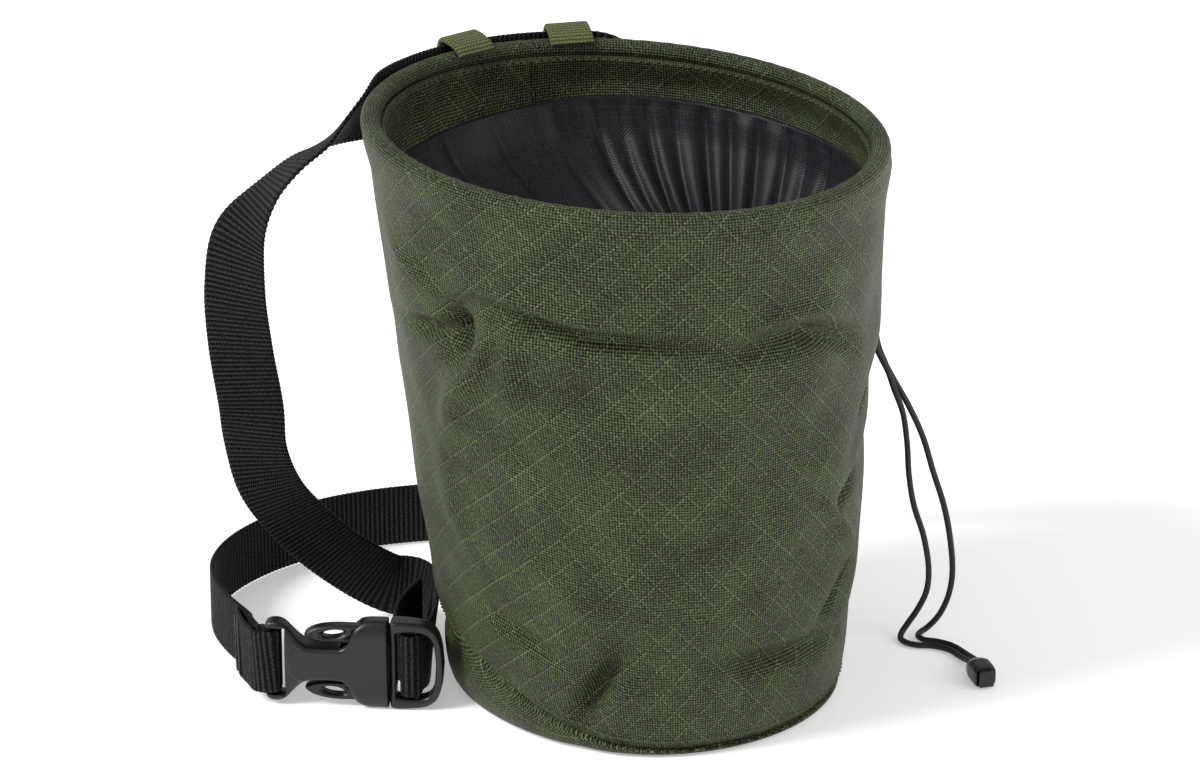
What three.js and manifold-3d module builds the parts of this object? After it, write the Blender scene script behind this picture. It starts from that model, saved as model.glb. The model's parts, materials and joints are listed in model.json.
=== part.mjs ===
// Climbing chalk bag with its waist belt and drawcord, in millimetres, +Z up.
// The origin is the centre of the base on the floor. The bag's front faces -Y and its belt loops are at +Y.
import * as THREE from 'three';
import * as BufferGeometryUtils from 'three/addons/utils/BufferGeometryUtils.js';
import Module from 'manifold-3d';

const wasm = await Module();
wasm.setup();

// Driving dimensions of the bag
const BAG_HEIGHT = 178;
const MOUTH_RADIUS = 77.4;
const BASE_RADIUS = 57.6;
const SHELL_WALL = 1.6;
const RIM_BEAD = 6;
const RIM_DROP = 9.3;
const BAG_LEAN = 7.4;
const SEAM_LOW = 2.4;
const SEAM_RISE = 20.6;
const SEAM_TURN = 188;
const BASE_WALL = 2;
const FACING_WALL = 1.2;
const COLLAR_WALL = 1.1;
const COLLAR_DROP = 42;
const THROAT_RADIUS = 19;
const THROAT_SHIFT = 22;
const PLEAT_DEPTH = 2.6;
const PLEATS = 11;
const PLEAT_CROWDING = 0.3;
const PLEAT_CROWD_TURN = 20;
const CLEARANCE = 0.35;

// Driving dimensions of the belt, its loops and its buckle
const BELT_WIDTH = 20;
const BELT_THICK = 1.6;
const LOOP_WIDTH = 13.5;
const LOOP_THICK = 1.5;
const LOOP_SEWN = 7;
const BUCKLE_THICK = 9;
const BUCKLE_CHEEK = 3.6;
const BUCKLE_BAR = 2.3;
const BUCKLE_BAR_DEPTH = 2.8;
const SOCKET_LENGTH = 37.4;
const SOCKET_WALL = 1.7;
const PRONG_PLATE = 4.2;
const FRAME_THICK = 5.6;
const FRAME_LENGTH = 16;
const BUCKLE_GAP = 0.6;

// Driving dimensions of the drawcord
const CORD_DIAMETER = 1.9;
const EYELET_RADIUS = 5.2;
const EYELET_HEIGHT = 1.6;
const CORD_END_LENGTH = 11.5;
const CORD_END_WIDTH = 7.4;
const CORD_END_HEIGHT = 6.8;

// The bag leans, and its belt and cord lie, square to a line turned this much from the bag's own front
const LAY_TURN = THREE.MathUtils.degToRad(-22);
const AROUND = 60;

// A point given by how far it is to the side, away and up along the lay line
function laid(side, away, up) {
  return new THREE.Vector3(
    side * Math.cos(LAY_TURN) - away * Math.sin(LAY_TURN),
    side * Math.sin(LAY_TURN) + away * Math.cos(LAY_TURN),
    up
  );
}

// A value read from a table of rows between its named columns
function readTable(rows, key, at, value) {
  let row = 1;
  while (row < rows.length - 1 && at > rows[row][key]) {
    row += 1;
  }
  const low = rows[row - 1];
  const high = rows[row];
  const share = THREE.MathUtils.clamp((at - low[key]) / (high[key] - low[key]), 0, 1);
  return THREE.MathUtils.lerp(low[value], high[value], share);
}

// A closed skin over rings of points: the rings join end to end, or each end closes on a middle point
function skin(rings, ends = null) {
  const count = rings[0].length;
  const points = rings.flat();
  const faces = [];
  const spans = ends ? rings.length - 1 : rings.length;
  for (let ring = 0; ring < spans; ring += 1) {
    const next = (ring + 1) % rings.length;
    for (let i = 0; i < count; i += 1) {
      const j = (i + 1) % count;
      faces.push([ring * count + i, ring * count + j, next * count + j]);
      faces.push([ring * count + i, next * count + j, next * count + i]);
    }
  }
  if (ends) {
    const last = (rings.length - 1) * count;
    points.push(ends[0], ends[1]);
    for (let i = 0; i < count; i += 1) {
      const j = (i + 1) % count;
      faces.push([points.length - 2, j, i]);
      faces.push([points.length - 1, last + i, last + j]);
    }
  }
  let volume = 0;
  for (const [a, b, c] of faces) {
    volume += points[a].dot(new THREE.Vector3().crossVectors(points[b], points[c])) / 6;
  }
  const outward = volume > 0 ? faces : faces.map(([a, b, c]) => [a, c, b]);
  const geometry = new THREE.BufferGeometry();
  geometry.setAttribute('position', new THREE.Float32BufferAttribute(points.flatMap((p) => p.toArray()), 3));
  geometry.setIndex(outward.flat());
  geometry.computeVertexNormals();
  return geometry;
}

// Radius of the shell's outside: swell runs from 0 at the base radius to 1 at the mouth radius
const PROFILE = [
  { up: 0.0, swell: 0.0 },
  { up: 0.065, swell: 0.12 },
  { up: 0.14, swell: 0.21 },
  { up: 0.25, swell: 0.35 },
  { up: 0.36, swell: 0.43 },
  { up: 0.47, swell: 0.52 },
  { up: 0.575, swell: 0.63 },
  { up: 0.65, swell: 0.74 },
  { up: 0.79, swell: 0.83 },
  { up: 0.9, swell: 0.89 },
  { up: 0.965, swell: 1.0 },
];

// Folds and dents: turn is degrees from the lay line, up a share of the height, long and wide shares of the
// mouth radius, slope degrees from level, and depth a share of the mouth radius, a groove where negative
const FOLDS = [
  { turn: -146, up: 0.69, long: 0.26, wide: 0.075, slope: 17, depth: -0.03 },
  { turn: -104, up: 0.775, long: 0.5, wide: 0.07, slope: 2, depth: -0.024 },
  { turn: -104, up: 0.84, long: 0.5, wide: 0.09, slope: 0, depth: 0.014 },
  { turn: -44, up: 0.755, long: 0.36, wide: 0.07, slope: -14, depth: -0.026 },
  { turn: -134, up: 0.715, long: 0.14, wide: 0.09, slope: 72, depth: -0.05 },
  { turn: -146, up: 0.785, long: 0.18, wide: 0.07, slope: -13, depth: 0.02 },
  { turn: -135, up: 0.6, long: 0.36, wide: 0.09, slope: 57, depth: 0.03 },
  { turn: -119, up: 0.68, long: 0.24, wide: 0.075, slope: 78, depth: 0.022 },
  { turn: -8, up: 0.575, long: 0.3, wide: 0.08, slope: 35, depth: -0.028 },
  { turn: -22, up: 0.4, long: 0.24, wide: 0.07, slope: 15, depth: -0.024 },
  { turn: -31, up: 0.35, long: 0.3, wide: 0.08, slope: -41, depth: 0.026 },
  { turn: -24, up: 0.215, long: 0.26, wide: 0.08, slope: 35, depth: -0.032 },
  { turn: -48, up: 0.16, long: 0.45, wide: 0.07, slope: -4, depth: -0.024 },
  { turn: -104, up: 0.1, long: 0.22, wide: 0.08, slope: 55, depth: -0.034 },
  { turn: -94, up: 0.2, long: 0.14, wide: 0.12, slope: 0, depth: -0.02 },
  { turn: -126, up: 0.16, long: 0.3, wide: 0.08, slope: 4, depth: -0.02 },
  { turn: 24, up: 0.42, long: 0.4, wide: 0.1, slope: -38, depth: -0.022 },
  { turn: 62, up: 0.7, long: 0.34, wide: 0.09, slope: 24, depth: -0.024 },
  { turn: 78, up: 0.3, long: 0.36, wide: 0.1, slope: 50, depth: 0.024 },
  { turn: 112, up: 0.5, long: 0.42, wide: 0.1, slope: -30, depth: -0.024 },
  { turn: 138, up: 0.22, long: 0.3, wide: 0.09, slope: 12, depth: -0.024 },
  { turn: 160, up: 0.62, long: 0.34, wide: 0.09, slope: 64, depth: 0.02 },
  { turn: 178, up: 0.02, long: 0.6, wide: 0.26, slope: 0, depth: 0.05 },
  { turn: 180, up: 0.3, long: 0.5, wide: 0.62, slope: 0, depth: 0.038 },
];

// How far the folds push the cloth out at a place on the shell
function foldOffset(angle, up) {
  let offset = 0;
  for (const fold of FOLDS) {
    const turn = angle - LAY_TURN - THREE.MathUtils.degToRad(fold.turn);
    const level = Math.atan2(Math.sin(turn), Math.cos(turn));
    const rise = ((up - fold.up) * BAG_HEIGHT) / MOUTH_RADIUS;
    const slope = THREE.MathUtils.degToRad(fold.slope);
    const along = (level * Math.cos(slope) + rise * Math.sin(slope)) / fold.long;
    const across = (rise * Math.cos(slope) - level * Math.sin(slope)) / fold.wide;
    offset += fold.depth * MOUTH_RADIUS * Math.exp(-along * along - across * across);
  }
  return offset;
}

// Height of the seam between base and shell: low in front, high on the side that the bag leans to
const SEAM_SHARPNESS = 2.4;

function seamHeight(angle) {
  const towardsHigh = Math.cos(angle - LAY_TURN - THREE.MathUtils.degToRad(SEAM_TURN));
  return SEAM_LOW + SEAM_RISE * Math.max(0, towardsHigh) ** SEAM_SHARPNESS;
}

// Height of the rim's top, which drops towards the lay line's side
function rimHeight(angle) {
  return BAG_HEIGHT - (RIM_DROP / 2) * Math.cos(angle - LAY_TURN);
}

// A point of the leaning bag at a radius, with up as a share of the way from the seam to the rim
function bagPoint(angle, up, radius) {
  const lean = laid(-BAG_LEAN * up, 0, 0);
  return new THREE.Vector3(
    lean.x + radius * Math.cos(angle),
    lean.y + radius * Math.sin(angle),
    THREE.MathUtils.lerp(seamHeight(angle), rimHeight(angle), up)
  );
}

// The shell's radius, folds and all, less an inset from its outside
function shellRadius(angle, up, inset = 0) {
  const swell = readTable(PROFILE, 'up', up, 'swell');
  return THREE.MathUtils.lerp(BASE_RADIUS, MOUTH_RADIUS, swell) + foldOffset(angle, up) - inset;
}

function shellPoint(angle, up, inset = 0) {
  return bagPoint(angle, up, shellRadius(angle, up, inset));
}

// One ring of points for each step round the bag
function aroundBag(ringAt) {
  return Array.from({ length: AROUND }, (_, i) => ringAt((i / AROUND) * Math.PI * 2));
}

function material(color, roughness) {
  return new THREE.MeshStandardMaterial({ color, roughness, metalness: 0 });
}

const OLIVE_RIPSTOP = material('#485034', 0.8);
const OLIVE_WEBBING = material('#5a6040', 0.8);
const CHARCOAL_NYLON = material('#2b2a2f', 0.55);
const BLACK_WEBBING = material('#1d1d1f', 0.75);
const BLACK_PLASTIC = material('#2d2e30', 0.45);
const BLACK_CORD = material('#151516', 0.7);

const chalkBag = new THREE.Group();

function addPiece(name, geometry, finish) {
  const mesh = new THREE.Mesh(geometry, finish);
  mesh.name = name;
  chalkBag.add(mesh);
}

// Shell: one wall of cloth whose top edge is rolled into a bead round the mouth
const SHELL_ROWS = [
  0, 0.03, 0.065, 0.105, 0.15, 0.2, 0.26, 0.32, 0.385, 0.45,
  0.515, 0.575, 0.63, 0.68, 0.73, 0.78, 0.83, 0.875, 0.92, 0.96,
];
const BEAD_TURNS = [20, 65, 115, 160];

function shellRing(angle) {
  const ring = SHELL_ROWS.map((up) => shellPoint(angle, up));
  const beadRadius = RIM_BEAD / 2;
  const lean = laid(-BAG_LEAN, 0, 0);
  for (const turn of BEAD_TURNS.map(THREE.MathUtils.degToRad)) {
    const radius = MOUTH_RADIUS - beadRadius + beadRadius * Math.cos(turn);
    ring.push(new THREE.Vector3(
      lean.x + radius * Math.cos(angle),
      lean.y + radius * Math.sin(angle),
      rimHeight(angle) - beadRadius + beadRadius * Math.sin(turn)
    ));
  }
  return ring.concat(SHELL_ROWS.map((up) => shellPoint(angle, up, SHELL_WALL)).reverse());
}

addPiece('shell', skin(aroundBag(shellRing)), OLIVE_RIPSTOP);

// Facing: a band of the shell's cloth against its inside, from under the bead to the collar
// Its lower edge, where the collar is sewn on, dips on the side that the bag leans to
const FACING_ROWS = [0, 0.35, 0.7, 1];
const FACING_TOP = 0.952;
const FACING_LAP = 0.018;
const FACING_INSET = SHELL_WALL + CLEARANCE;
const COLLAR_TOP = 0.905;
const COLLAR_DIP = 0.045;
const COLLAR_DIP_TURN = 170;

function collarTop(angle) {
  const towardsDip = Math.cos(angle - LAY_TURN - THREE.MathUtils.degToRad(COLLAR_DIP_TURN));
  return COLLAR_TOP - COLLAR_DIP * Math.max(0, towardsDip) ** 2;
}

function facingRing(angle) {
  const foot = collarTop(angle) - FACING_LAP;
  const ups = FACING_ROWS.map((share) => THREE.MathUtils.lerp(foot, FACING_TOP, share));
  const outside = ups.map((up) => shellPoint(angle, up, FACING_INSET));
  const inside = ups.map((up) => shellPoint(angle, up, FACING_INSET + FACING_WALL));
  return outside.concat(inside.reverse());
}

addPiece('facing', skin(aroundBag(facingRing)), OLIVE_RIPSTOP);

// Collar: a funnel of thin lining cloth from the facing's lower edge to a gathered throat
// down is a share of the collar's drop, and inward a share of the way from the facing to the throat
const COLLAR_ROWS = [
  { down: 0, inward: 0 },
  { down: 0.26, inward: 0.04 },
  { down: 0.48, inward: 0.16 },
  { down: 0.66, inward: 0.36 },
  { down: 0.8, inward: 0.62 },
  { down: 0.92, inward: 0.88 },
  { down: 1.08, inward: 1 },
];

// Pleats crowd together on the side that the throat is shifted to, and deepen quickly from the facing inwards
const PLEAT_ONSET = 0.6;

function pleat(angle, inward) {
  const turn = angle - LAY_TURN;
  const crowd = PLEAT_CROWDING * Math.sin(turn - THREE.MathUtils.degToRad(PLEAT_CROWD_TURN));
  return PLEAT_DEPTH * inward ** PLEAT_ONSET * Math.sin(PLEATS * (turn + crowd));
}

function collarPoint(angle, row, depth) {
  const here = COLLAR_ROWS[row];
  const before = COLLAR_ROWS[Math.max(0, row - 1)];
  const after = COLLAR_ROWS[Math.min(COLLAR_ROWS.length - 1, row + 1)];
  const top = shellRadius(angle, collarTop(angle), FACING_INSET + FACING_WALL + CLEARANCE);
  const run = top - THROAT_RADIUS;
  const slope = Math.atan2((after.inward - before.inward) * run, (after.down - before.down) * COLLAR_DROP);
  const offset = depth + pleat(angle, here.inward);
  const radius = top - run * here.inward + offset * Math.cos(slope);
  const point = bagPoint(angle, collarTop(angle), radius);
  const shift = laid(THROAT_SHIFT * here.inward, 0, 0);
  point.add(shift);
  point.z -= COLLAR_DROP * here.down + offset * Math.sin(slope);
  return point;
}

function collarRing(angle) {
  const upper = COLLAR_ROWS.map((_, row) => collarPoint(angle, row, -COLLAR_WALL));
  const lower = COLLAR_ROWS.map((_, row) => collarPoint(angle, row, 0));
  return upper.concat(lower.reverse());
}

addPiece('collar', skin(aroundBag(collarRing)), CHARCOAL_NYLON);

// Base panel: a flat round bottom whose edge turns up inside the shell's lower edge
// Each row has its share of the shell's lower radius, its height as a share of the seam's, and its tilt
const BASE_LAP = 0.026;
const BASE_ROWS = [
  { out: 0.9, height: 0, tilt: 90 },
  { out: 0.955, height: 0.14, tilt: 55 },
  { out: 1, height: 1, tilt: 12 },
];

function basePanel() {
  const fit = SHELL_WALL + CLEARANCE;
  const outside = BASE_ROWS.map((row) => aroundBag((angle) => {
    const radius = shellRadius(angle, 0, fit) * row.out;
    const point = bagPoint(angle, 0, radius);
    point.z = seamHeight(angle) * row.height;
    return point;
  }));
  outside.push(aroundBag((angle) => shellPoint(angle, BASE_LAP, fit)));
  const tilts = BASE_ROWS.map((row) => THREE.MathUtils.degToRad(row.tilt)).concat(0);
  const inside = outside.map((ring, row) => ring.map((point, i) => {
    const angle = (i / AROUND) * Math.PI * 2;
    const inward = BASE_WALL * Math.cos(tilts[row]);
    return new THREE.Vector3(
      point.x - inward * Math.cos(angle),
      point.y - inward * Math.sin(angle),
      point.z + BASE_WALL * Math.sin(tilts[row])
    );
  }));
  const rings = outside.concat(inside.reverse());
  return skin(rings, [new THREE.Vector3(0, 0, 0), new THREE.Vector3(0, 0, BASE_WALL)]);
}

addPiece('base_panel', basePanel(), OLIVE_RIPSTOP);

// A strip of webbing through rows of centre points, each with the direction across the strip
function strip(rows, width, thick) {
  const centres = new THREE.CatmullRomCurve3(rows.map((row) => row.centre), false, 'centripetal');
  const spans = rows.length - 1;
  const rings = [];
  const sectionAt = (share) => {
    const at = share * spans;
    const low = Math.min(spans - 1, Math.floor(at));
    const across = rows[low].across.clone().lerp(rows[low + 1].across, at - low);
    const centre = centres.getPoint(share);
    const tangent = centres.getTangent(share);
    across.addScaledVector(tangent, -across.dot(tangent)).setLength(width / 2);
    const normal = new THREE.Vector3().crossVectors(tangent, across).setLength(thick / 2);
    return [
      centre.clone().add(across).add(normal),
      centre.clone().add(across).sub(normal),
      centre.clone().sub(across).sub(normal),
      centre.clone().sub(across).add(normal),
    ];
  };
  for (let span = 0; span < spans; span += 1) {
    const steps = rows[span].steps ?? 1;
    for (let step = 0; step < steps; step += 1) {
      rings.push(sectionAt((span + step / steps) / spans));
    }
  }
  rings.push(sectionAt(1));
  return skin(rings, [rows[0].centre, rows[spans].centre]);
}

// Belt loops: webbing tabs from the bead's inside, over the belt, down to the shell below it
// The first two rows follow the bead's inside, at these turns from straight out
const LOOP_TURNS = { belt_loop_left: 107, belt_loop_right: 81 };
const LOOP_BEAD_TURNS = [149, 120];
const BELT_RISE = 1;
const BELT_BACK_GAP = 0.6;
const BELT_BACK_RADIUS = MOUTH_RADIUS + BELT_BACK_GAP + BELT_THICK / 2;

function beltLoop(angle) {
  const across = new THREE.Vector3(-Math.sin(angle), Math.cos(angle), 0);
  const rim = rimHeight(angle);
  const bead = RIM_BEAD / 2;
  const bow = MOUTH_RADIUS - Math.sqrt(MOUTH_RADIUS ** 2 - (LOOP_WIDTH / 2) ** 2);
  const hug = bead + bow + CLEARANCE + LOOP_THICK / 2;
  const beltTop = rim + BELT_RISE;
  const outside = BELT_BACK_RADIUS + BELT_THICK / 2 + CLEARANCE + LOOP_THICK;
  const sewnTop = beltTop - BELT_WIDTH - LOOP_THICK * 3;
  const lean = laid(-BAG_LEAN, 0, 0);
  const at = (radius, height) => ({
    centre: new THREE.Vector3(lean.x + radius * Math.cos(angle), lean.y + radius * Math.sin(angle), height),
    across,
  });
  const onShell = (height) => {
    const up = (height - seamHeight(angle)) / (rim - seamHeight(angle));
    const halfAngle = LOOP_WIDTH / 2 / MOUTH_RADIUS;
    const turns = [-1, -0.5, 0, 0.5, 1].map((share) => angle + share * halfAngle);
    const radius = Math.max(...turns.map((turn) => shellRadius(turn, up)));
    const point = bagPoint(angle, up, radius + bow + CLEARANCE + LOOP_THICK / 2);
    return { centre: point, across };
  };
  const onBead = LOOP_BEAD_TURNS.map(THREE.MathUtils.degToRad).map((turn) => at(
    MOUTH_RADIUS - bead + hug * Math.cos(turn),
    rim - bead + hug * Math.sin(turn)
  ));
  return strip([
    ...onBead,
    at(MOUTH_RADIUS - bead, rim - bead + hug + CLEARANCE),
    at(BELT_BACK_RADIUS - BELT_THICK / 2, beltTop + LOOP_THICK),
    at(BELT_BACK_RADIUS + BELT_THICK, beltTop + LOOP_THICK * 0.9),
    at(outside + CLEARANCE, beltTop - LOOP_THICK),
    at(outside + CLEARANCE, beltTop - BELT_WIDTH * 0.4),
    at(outside, beltTop - BELT_WIDTH * 0.8),
    at(outside - LOOP_THICK * 0.6, beltTop - BELT_WIDTH - LOOP_THICK),
    onShell(sewnTop),
    onShell(sewnTop - LOOP_SEWN / 2),
    onShell(sewnTop - LOOP_SEWN),
  ], LOOP_WIDTH, LOOP_THICK);
}

for (const [name, turn] of Object.entries(LOOP_TURNS)) {
  addPiece(name, beltLoop(THREE.MathUtils.degToRad(turn)), OLIVE_WEBBING);
}

// The buckle stands on its edge on the floor: u runs along it, v up and w away, from its left end's middle
const BUCKLE_HALF = BELT_WIDTH / 2 + CLEARANCE * 2 + BUCKLE_CHEEK;
const SLOT_HALF = BELT_WIDTH / 2 + CLEARANCE * 2;
const BUCKLE_TURN = THREE.MathUtils.degToRad(-5);
const BUCKLE_SIDE = -1.49 * MOUTH_RADIUS;
const BUCKLE_AWAY = -0.239 * MOUTH_RADIUS;

function buckleSpot(u, v, w) {
  return laid(
    BUCKLE_SIDE + u * Math.cos(BUCKLE_TURN) - w * Math.sin(BUCKLE_TURN),
    BUCKLE_AWAY + u * Math.sin(BUCKLE_TURN) + w * Math.cos(BUCKLE_TURN),
    BUCKLE_HALF + v
  );
}

// A solid from a three.js geometry, for cutting and joining
function solid(geometry) {
  const bare = geometry.clone();
  bare.deleteAttribute('normal');
  bare.deleteAttribute('uv');
  const merged = BufferGeometryUtils.mergeVertices(bare, 1e-4);
  return new wasm.Manifold(new wasm.Mesh({
    numProp: 3,
    vertProperties: new Float32Array(merged.attributes.position.array),
    triVerts: new Uint32Array(merged.index.array),
  }));
}

function geometryOf(body) {
  const mesh = body.getMesh();
  const geometry = new THREE.BufferGeometry();
  geometry.setAttribute('position', new THREE.BufferAttribute(new Float32Array(mesh.vertProperties), 3));
  geometry.setIndex(new THREE.BufferAttribute(new Uint32Array(mesh.triVerts), 1));
  geometry.computeVertexNormals();
  return geometry;
}

function plate(shape, thick) {
  const geometry = new THREE.ExtrudeGeometry(shape, { depth: thick, bevelEnabled: false, curveSegments: 6 });
  return geometry.translate(0, 0, -thick / 2);
}

function block(fromU, toU, halfV, fromW, toW) {
  const geometry = new THREE.BoxGeometry(toU - fromU, halfV * 2, toW - fromW);
  return geometry.translate((fromU + toU) / 2, 0, (fromW + toW) / 2);
}

// The outline's upper half is mirrored to give the lower half
function mirrored(upper) {
  const lower = upper.filter(([, v]) => v !== 0).map(([u, v]) => [u, -v]).reverse();
  return new THREE.Shape(upper.concat(lower).map(([u, v]) => new THREE.Vector2(u, v)));
}

function placeBuckle(body) {
  const u = buckleSpot(1, 0, 0).sub(buckleSpot(0, 0, 0));
  const v = new THREE.Vector3(0, 0, 1);
  const w = new THREE.Vector3().crossVectors(u, v);
  const turn = new THREE.Matrix4().makeBasis(u, v, w).setPosition(buckleSpot(0, 0, 0));
  return geometryOf(body).applyMatrix4(turn);
}

// Socket half: a spool outline with a bar for the sewn end and a hood that the prongs enter
// Cuts start or end past the solid by CUT_OVER, and the bar stands BAR_FROM inside the left end
const CUT_OVER = 1;
const WAIST_HALF = BUCKLE_HALF * 0.365;
const HOOD_START = SOCKET_LENGTH * 0.625;
const BAR_FROM = 0.2;
const SLOT_END = BAR_FROM + BUCKLE_BAR + BELT_THICK * 2 + CLEARANCE;

function socketHalf() {
  const tall = BUCKLE_HALF;
  const long = SOCKET_LENGTH;
  const outline = mirrored([
    [0, tall * 0.76],
    [long * 0.016, tall * 0.86],
    [long * 0.06, tall * 0.91],
    [long * 0.125, tall * 0.91],
    [long * 0.17, tall * 0.84],
    [long * 0.23, tall * 0.66],
    [long * 0.285, tall * 0.5],
    [long * 0.34, tall * 0.4],
    [long * 0.42, WAIST_HALF],
    [long * 0.53, WAIST_HALF],
    [long * 0.63, tall * 0.39],
    [long * 0.675, tall * 0.5],
    [long * 0.705, tall * 0.68],
    [long * 0.74, tall * 0.85],
    [long * 0.79, tall * 0.965],
    [long * 0.85, tall],
    [long, tall],
  ]);
  const half = BUCKLE_THICK / 2;
  const bar = BUCKLE_BAR_DEPTH / 2;
  const inner = BUCKLE_HALF - SOCKET_WALL;
  const cavity = PRONG_PLATE / 2 + CLEARANCE;
  return solid(plate(outline, BUCKLE_THICK))
    .subtract(solid(block(-CUT_OVER, SLOT_END, SLOT_HALF, bar, half + CUT_OVER)))
    .subtract(solid(block(-CUT_OVER, SLOT_END, SLOT_HALF, -half - CUT_OVER, -bar)))
    .subtract(solid(block(-CUT_OVER, BAR_FROM, SLOT_HALF, -half, half)))
    .subtract(solid(block(BAR_FROM + BUCKLE_BAR, SLOT_END, SLOT_HALF, -half, half)))
    .subtract(solid(block(HOOD_START, SOCKET_LENGTH + CUT_OVER, inner, -cavity, cavity)));
}

addPiece('buckle_female', placeBuckle(socketHalf()), BLACK_PLASTIC);

// Prong half: a plate with two sprung prongs inside the hood, and a frame with the bar for the belt
const FRAME_START = SOCKET_LENGTH + BUCKLE_GAP;
const FRAME_END = FRAME_START + FRAME_LENGTH;
const WINDOW_START = FRAME_START + FRAME_LENGTH * 0.11;
const WINDOW_END = FRAME_END - BUCKLE_BAR;
const MID_BAR_START = WINDOW_START + BELT_THICK + CLEARANCE * 4;
const MID_BAR_END = MID_BAR_START + BUCKLE_BAR;

function prongHalf() {
  const tall = BUCKLE_HALF;
  const reach = BUCKLE_HALF - SOCKET_WALL - CLEARANCE;
  const long = SOCKET_LENGTH;
  const root = long * 0.85;
  const tips = mirrored([
    [root, 0],
    [root, WAIST_HALF * 0.9],
    [long * 0.8, WAIST_HALF * 1.22],
    [long * 0.62, WAIST_HALF * 1.22],
    [long * 0.45, WAIST_HALF * 1.28],
    [long * 0.35, WAIST_HALF * 1.42],
    [long * 0.31, tall * 0.62],
    [long * 0.4, tall * 0.76],
    [long * 0.53, reach * 0.99],
    [long * 0.7, reach],
    [FRAME_START + BUCKLE_BAR / 2, reach],
    [FRAME_START + BUCKLE_BAR / 2, 0],
  ]);
  for (const side of [-1, 1]) {
    const eye = new THREE.Path();
    eye.absellipse(long * 0.55, side * tall * 0.65, long * 0.085, tall * 0.075, 0, Math.PI * 2);
    tips.holes.push(eye);
  }
  const frame = mirrored([
    [FRAME_START, 0],
    [FRAME_START, tall * 0.97],
    [FRAME_START + FRAME_LENGTH * 0.45, tall * 0.97],
    [FRAME_START + FRAME_LENGTH * 0.74, tall * 0.88],
    [FRAME_START + FRAME_LENGTH * 0.9, tall * 0.68],
    [FRAME_START + FRAME_LENGTH * 0.98, tall * 0.36],
    [FRAME_END, 0],
  ]);
  const window = mirrored([
    [WINDOW_START, 0],
    [WINDOW_START, SLOT_HALF],
    [WINDOW_END - FRAME_LENGTH * 0.3, SLOT_HALF],
    [WINDOW_END - FRAME_LENGTH * 0.12, SLOT_HALF * 0.8],
    [WINDOW_END, SLOT_HALF * 0.4],
    [WINDOW_END, 0],
  ]);
  const bar = BUCKLE_BAR_DEPTH / 2;
  const barHalf = BUCKLE_HALF - BUCKLE_CHEEK / 2;
  return solid(plate(tips, PRONG_PLATE))
    .add(solid(plate(frame, FRAME_THICK)))
    .subtract(solid(plate(window, FRAME_THICK * 2)))
    .add(solid(block(MID_BAR_START, MID_BAR_END, barHalf, -bar, bar)));
}

addPiece('buckle_male', placeBuckle(prongHalf()), BLACK_PLASTIC);

// Belt: one length of webbing from its sewn end in the socket half, round behind the bag, through the
// loops at the back of the rim, down the side and through the prong half's frame to its free tail
const UPRIGHT = new THREE.Vector3(0, 0, 1);
const FLOOR_GAP = 0.3;
const BELT_ON_FLOOR = BELT_WIDTH / 2 + FLOOR_GAP;
const WRAP = BUCKLE_BAR_DEPTH / 2 + CLEARANCE + BELT_THICK / 2;

// Rows in the buckle's own lines: u from the bar's middle as a share of the wrap round it, w likewise
function wrapRows(barMiddle, rows) {
  return rows.map(({ u, w, drop = 0, steps = 1 }) => ({
    centre: buckleSpot(barMiddle + u * WRAP, -drop * BELT_WIDTH, w * WRAP),
    across: UPRIGHT,
    steps,
  }));
}

// The sewn end: a short layer in front, round the bar, and back along the layer that goes on
const SEWN_BAR = BAR_FROM + BUCKLE_BAR / 2;
const SEWN_END = wrapRows(SEWN_BAR, [
  { u: -5.1, w: 9.3, drop: 0.2, steps: 3 },
  { u: -4.6, w: 6.6, drop: 0.16, steps: 3 },
  { u: -3.75, w: 3.9, drop: 0.1, steps: 3 },
  { u: -2.65, w: 1.5, drop: 0.06, steps: 3 },
  { u: -1.7, w: -0.45, drop: 0.03, steps: 2 },
  { u: -0.5, w: -1.12, drop: 0.015, steps: 2 },
  { u: 0.78, w: -1.05, steps: 2 },
  { u: 1.16, w: 0, steps: 2 },
  { u: 0.78, w: 1.05, steps: 2 },
  { u: -0.3, w: 1.18, drop: 0.015, steps: 2 },
  { u: -1.1, w: 1.5, drop: 0.04, steps: 2 },
  { u: -1.85, w: 2.6, drop: 0.08, steps: 3 },
  { u: -2.75, w: 4.6, drop: 0.12, steps: 3 },
  { u: -3.55, w: 7.1, drop: 0.17, steps: 3 },
]);

// The stretch that stands on its edge on the floor and goes round behind the bag
const ON_FLOOR = [
  { side: -1.668, away: 0.2 },
  { side: -1.725, away: 0.36 },
  { side: -1.74, away: 0.54 },
  { side: -1.68, away: 0.75 },
  { side: -1.54, away: 0.95 },
  { side: -1.36, away: 1.1 },
  { side: -1.16, away: 1.2 },
  { side: -0.9, away: 1.27 },
  { side: -0.58, away: 1.31 },
  { side: -0.25, away: 1.33, up: 0.0635 },
  { side: 0.02, away: 1.34, up: 0.105 },
  { side: 0.26, away: 1.34, up: 0.175 },
  { side: 0.46, away: 1.33, up: 0.29 },
  { side: 0.6, away: 1.29, up: 0.44 },
  { side: 0.66, away: 1.22, up: 0.6 },
  { side: 0.63, away: 1.14, up: 0.75 },
  { side: 0.52, away: 1.075, up: 0.87 },
].map(({ side, away, up }) => ({
  centre: laid(side * MOUTH_RADIUS, away * MOUTH_RADIUS, up ? up * BAG_HEIGHT : BELT_ON_FLOOR),
  across: UPRIGHT,
  steps: 3,
}));

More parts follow.
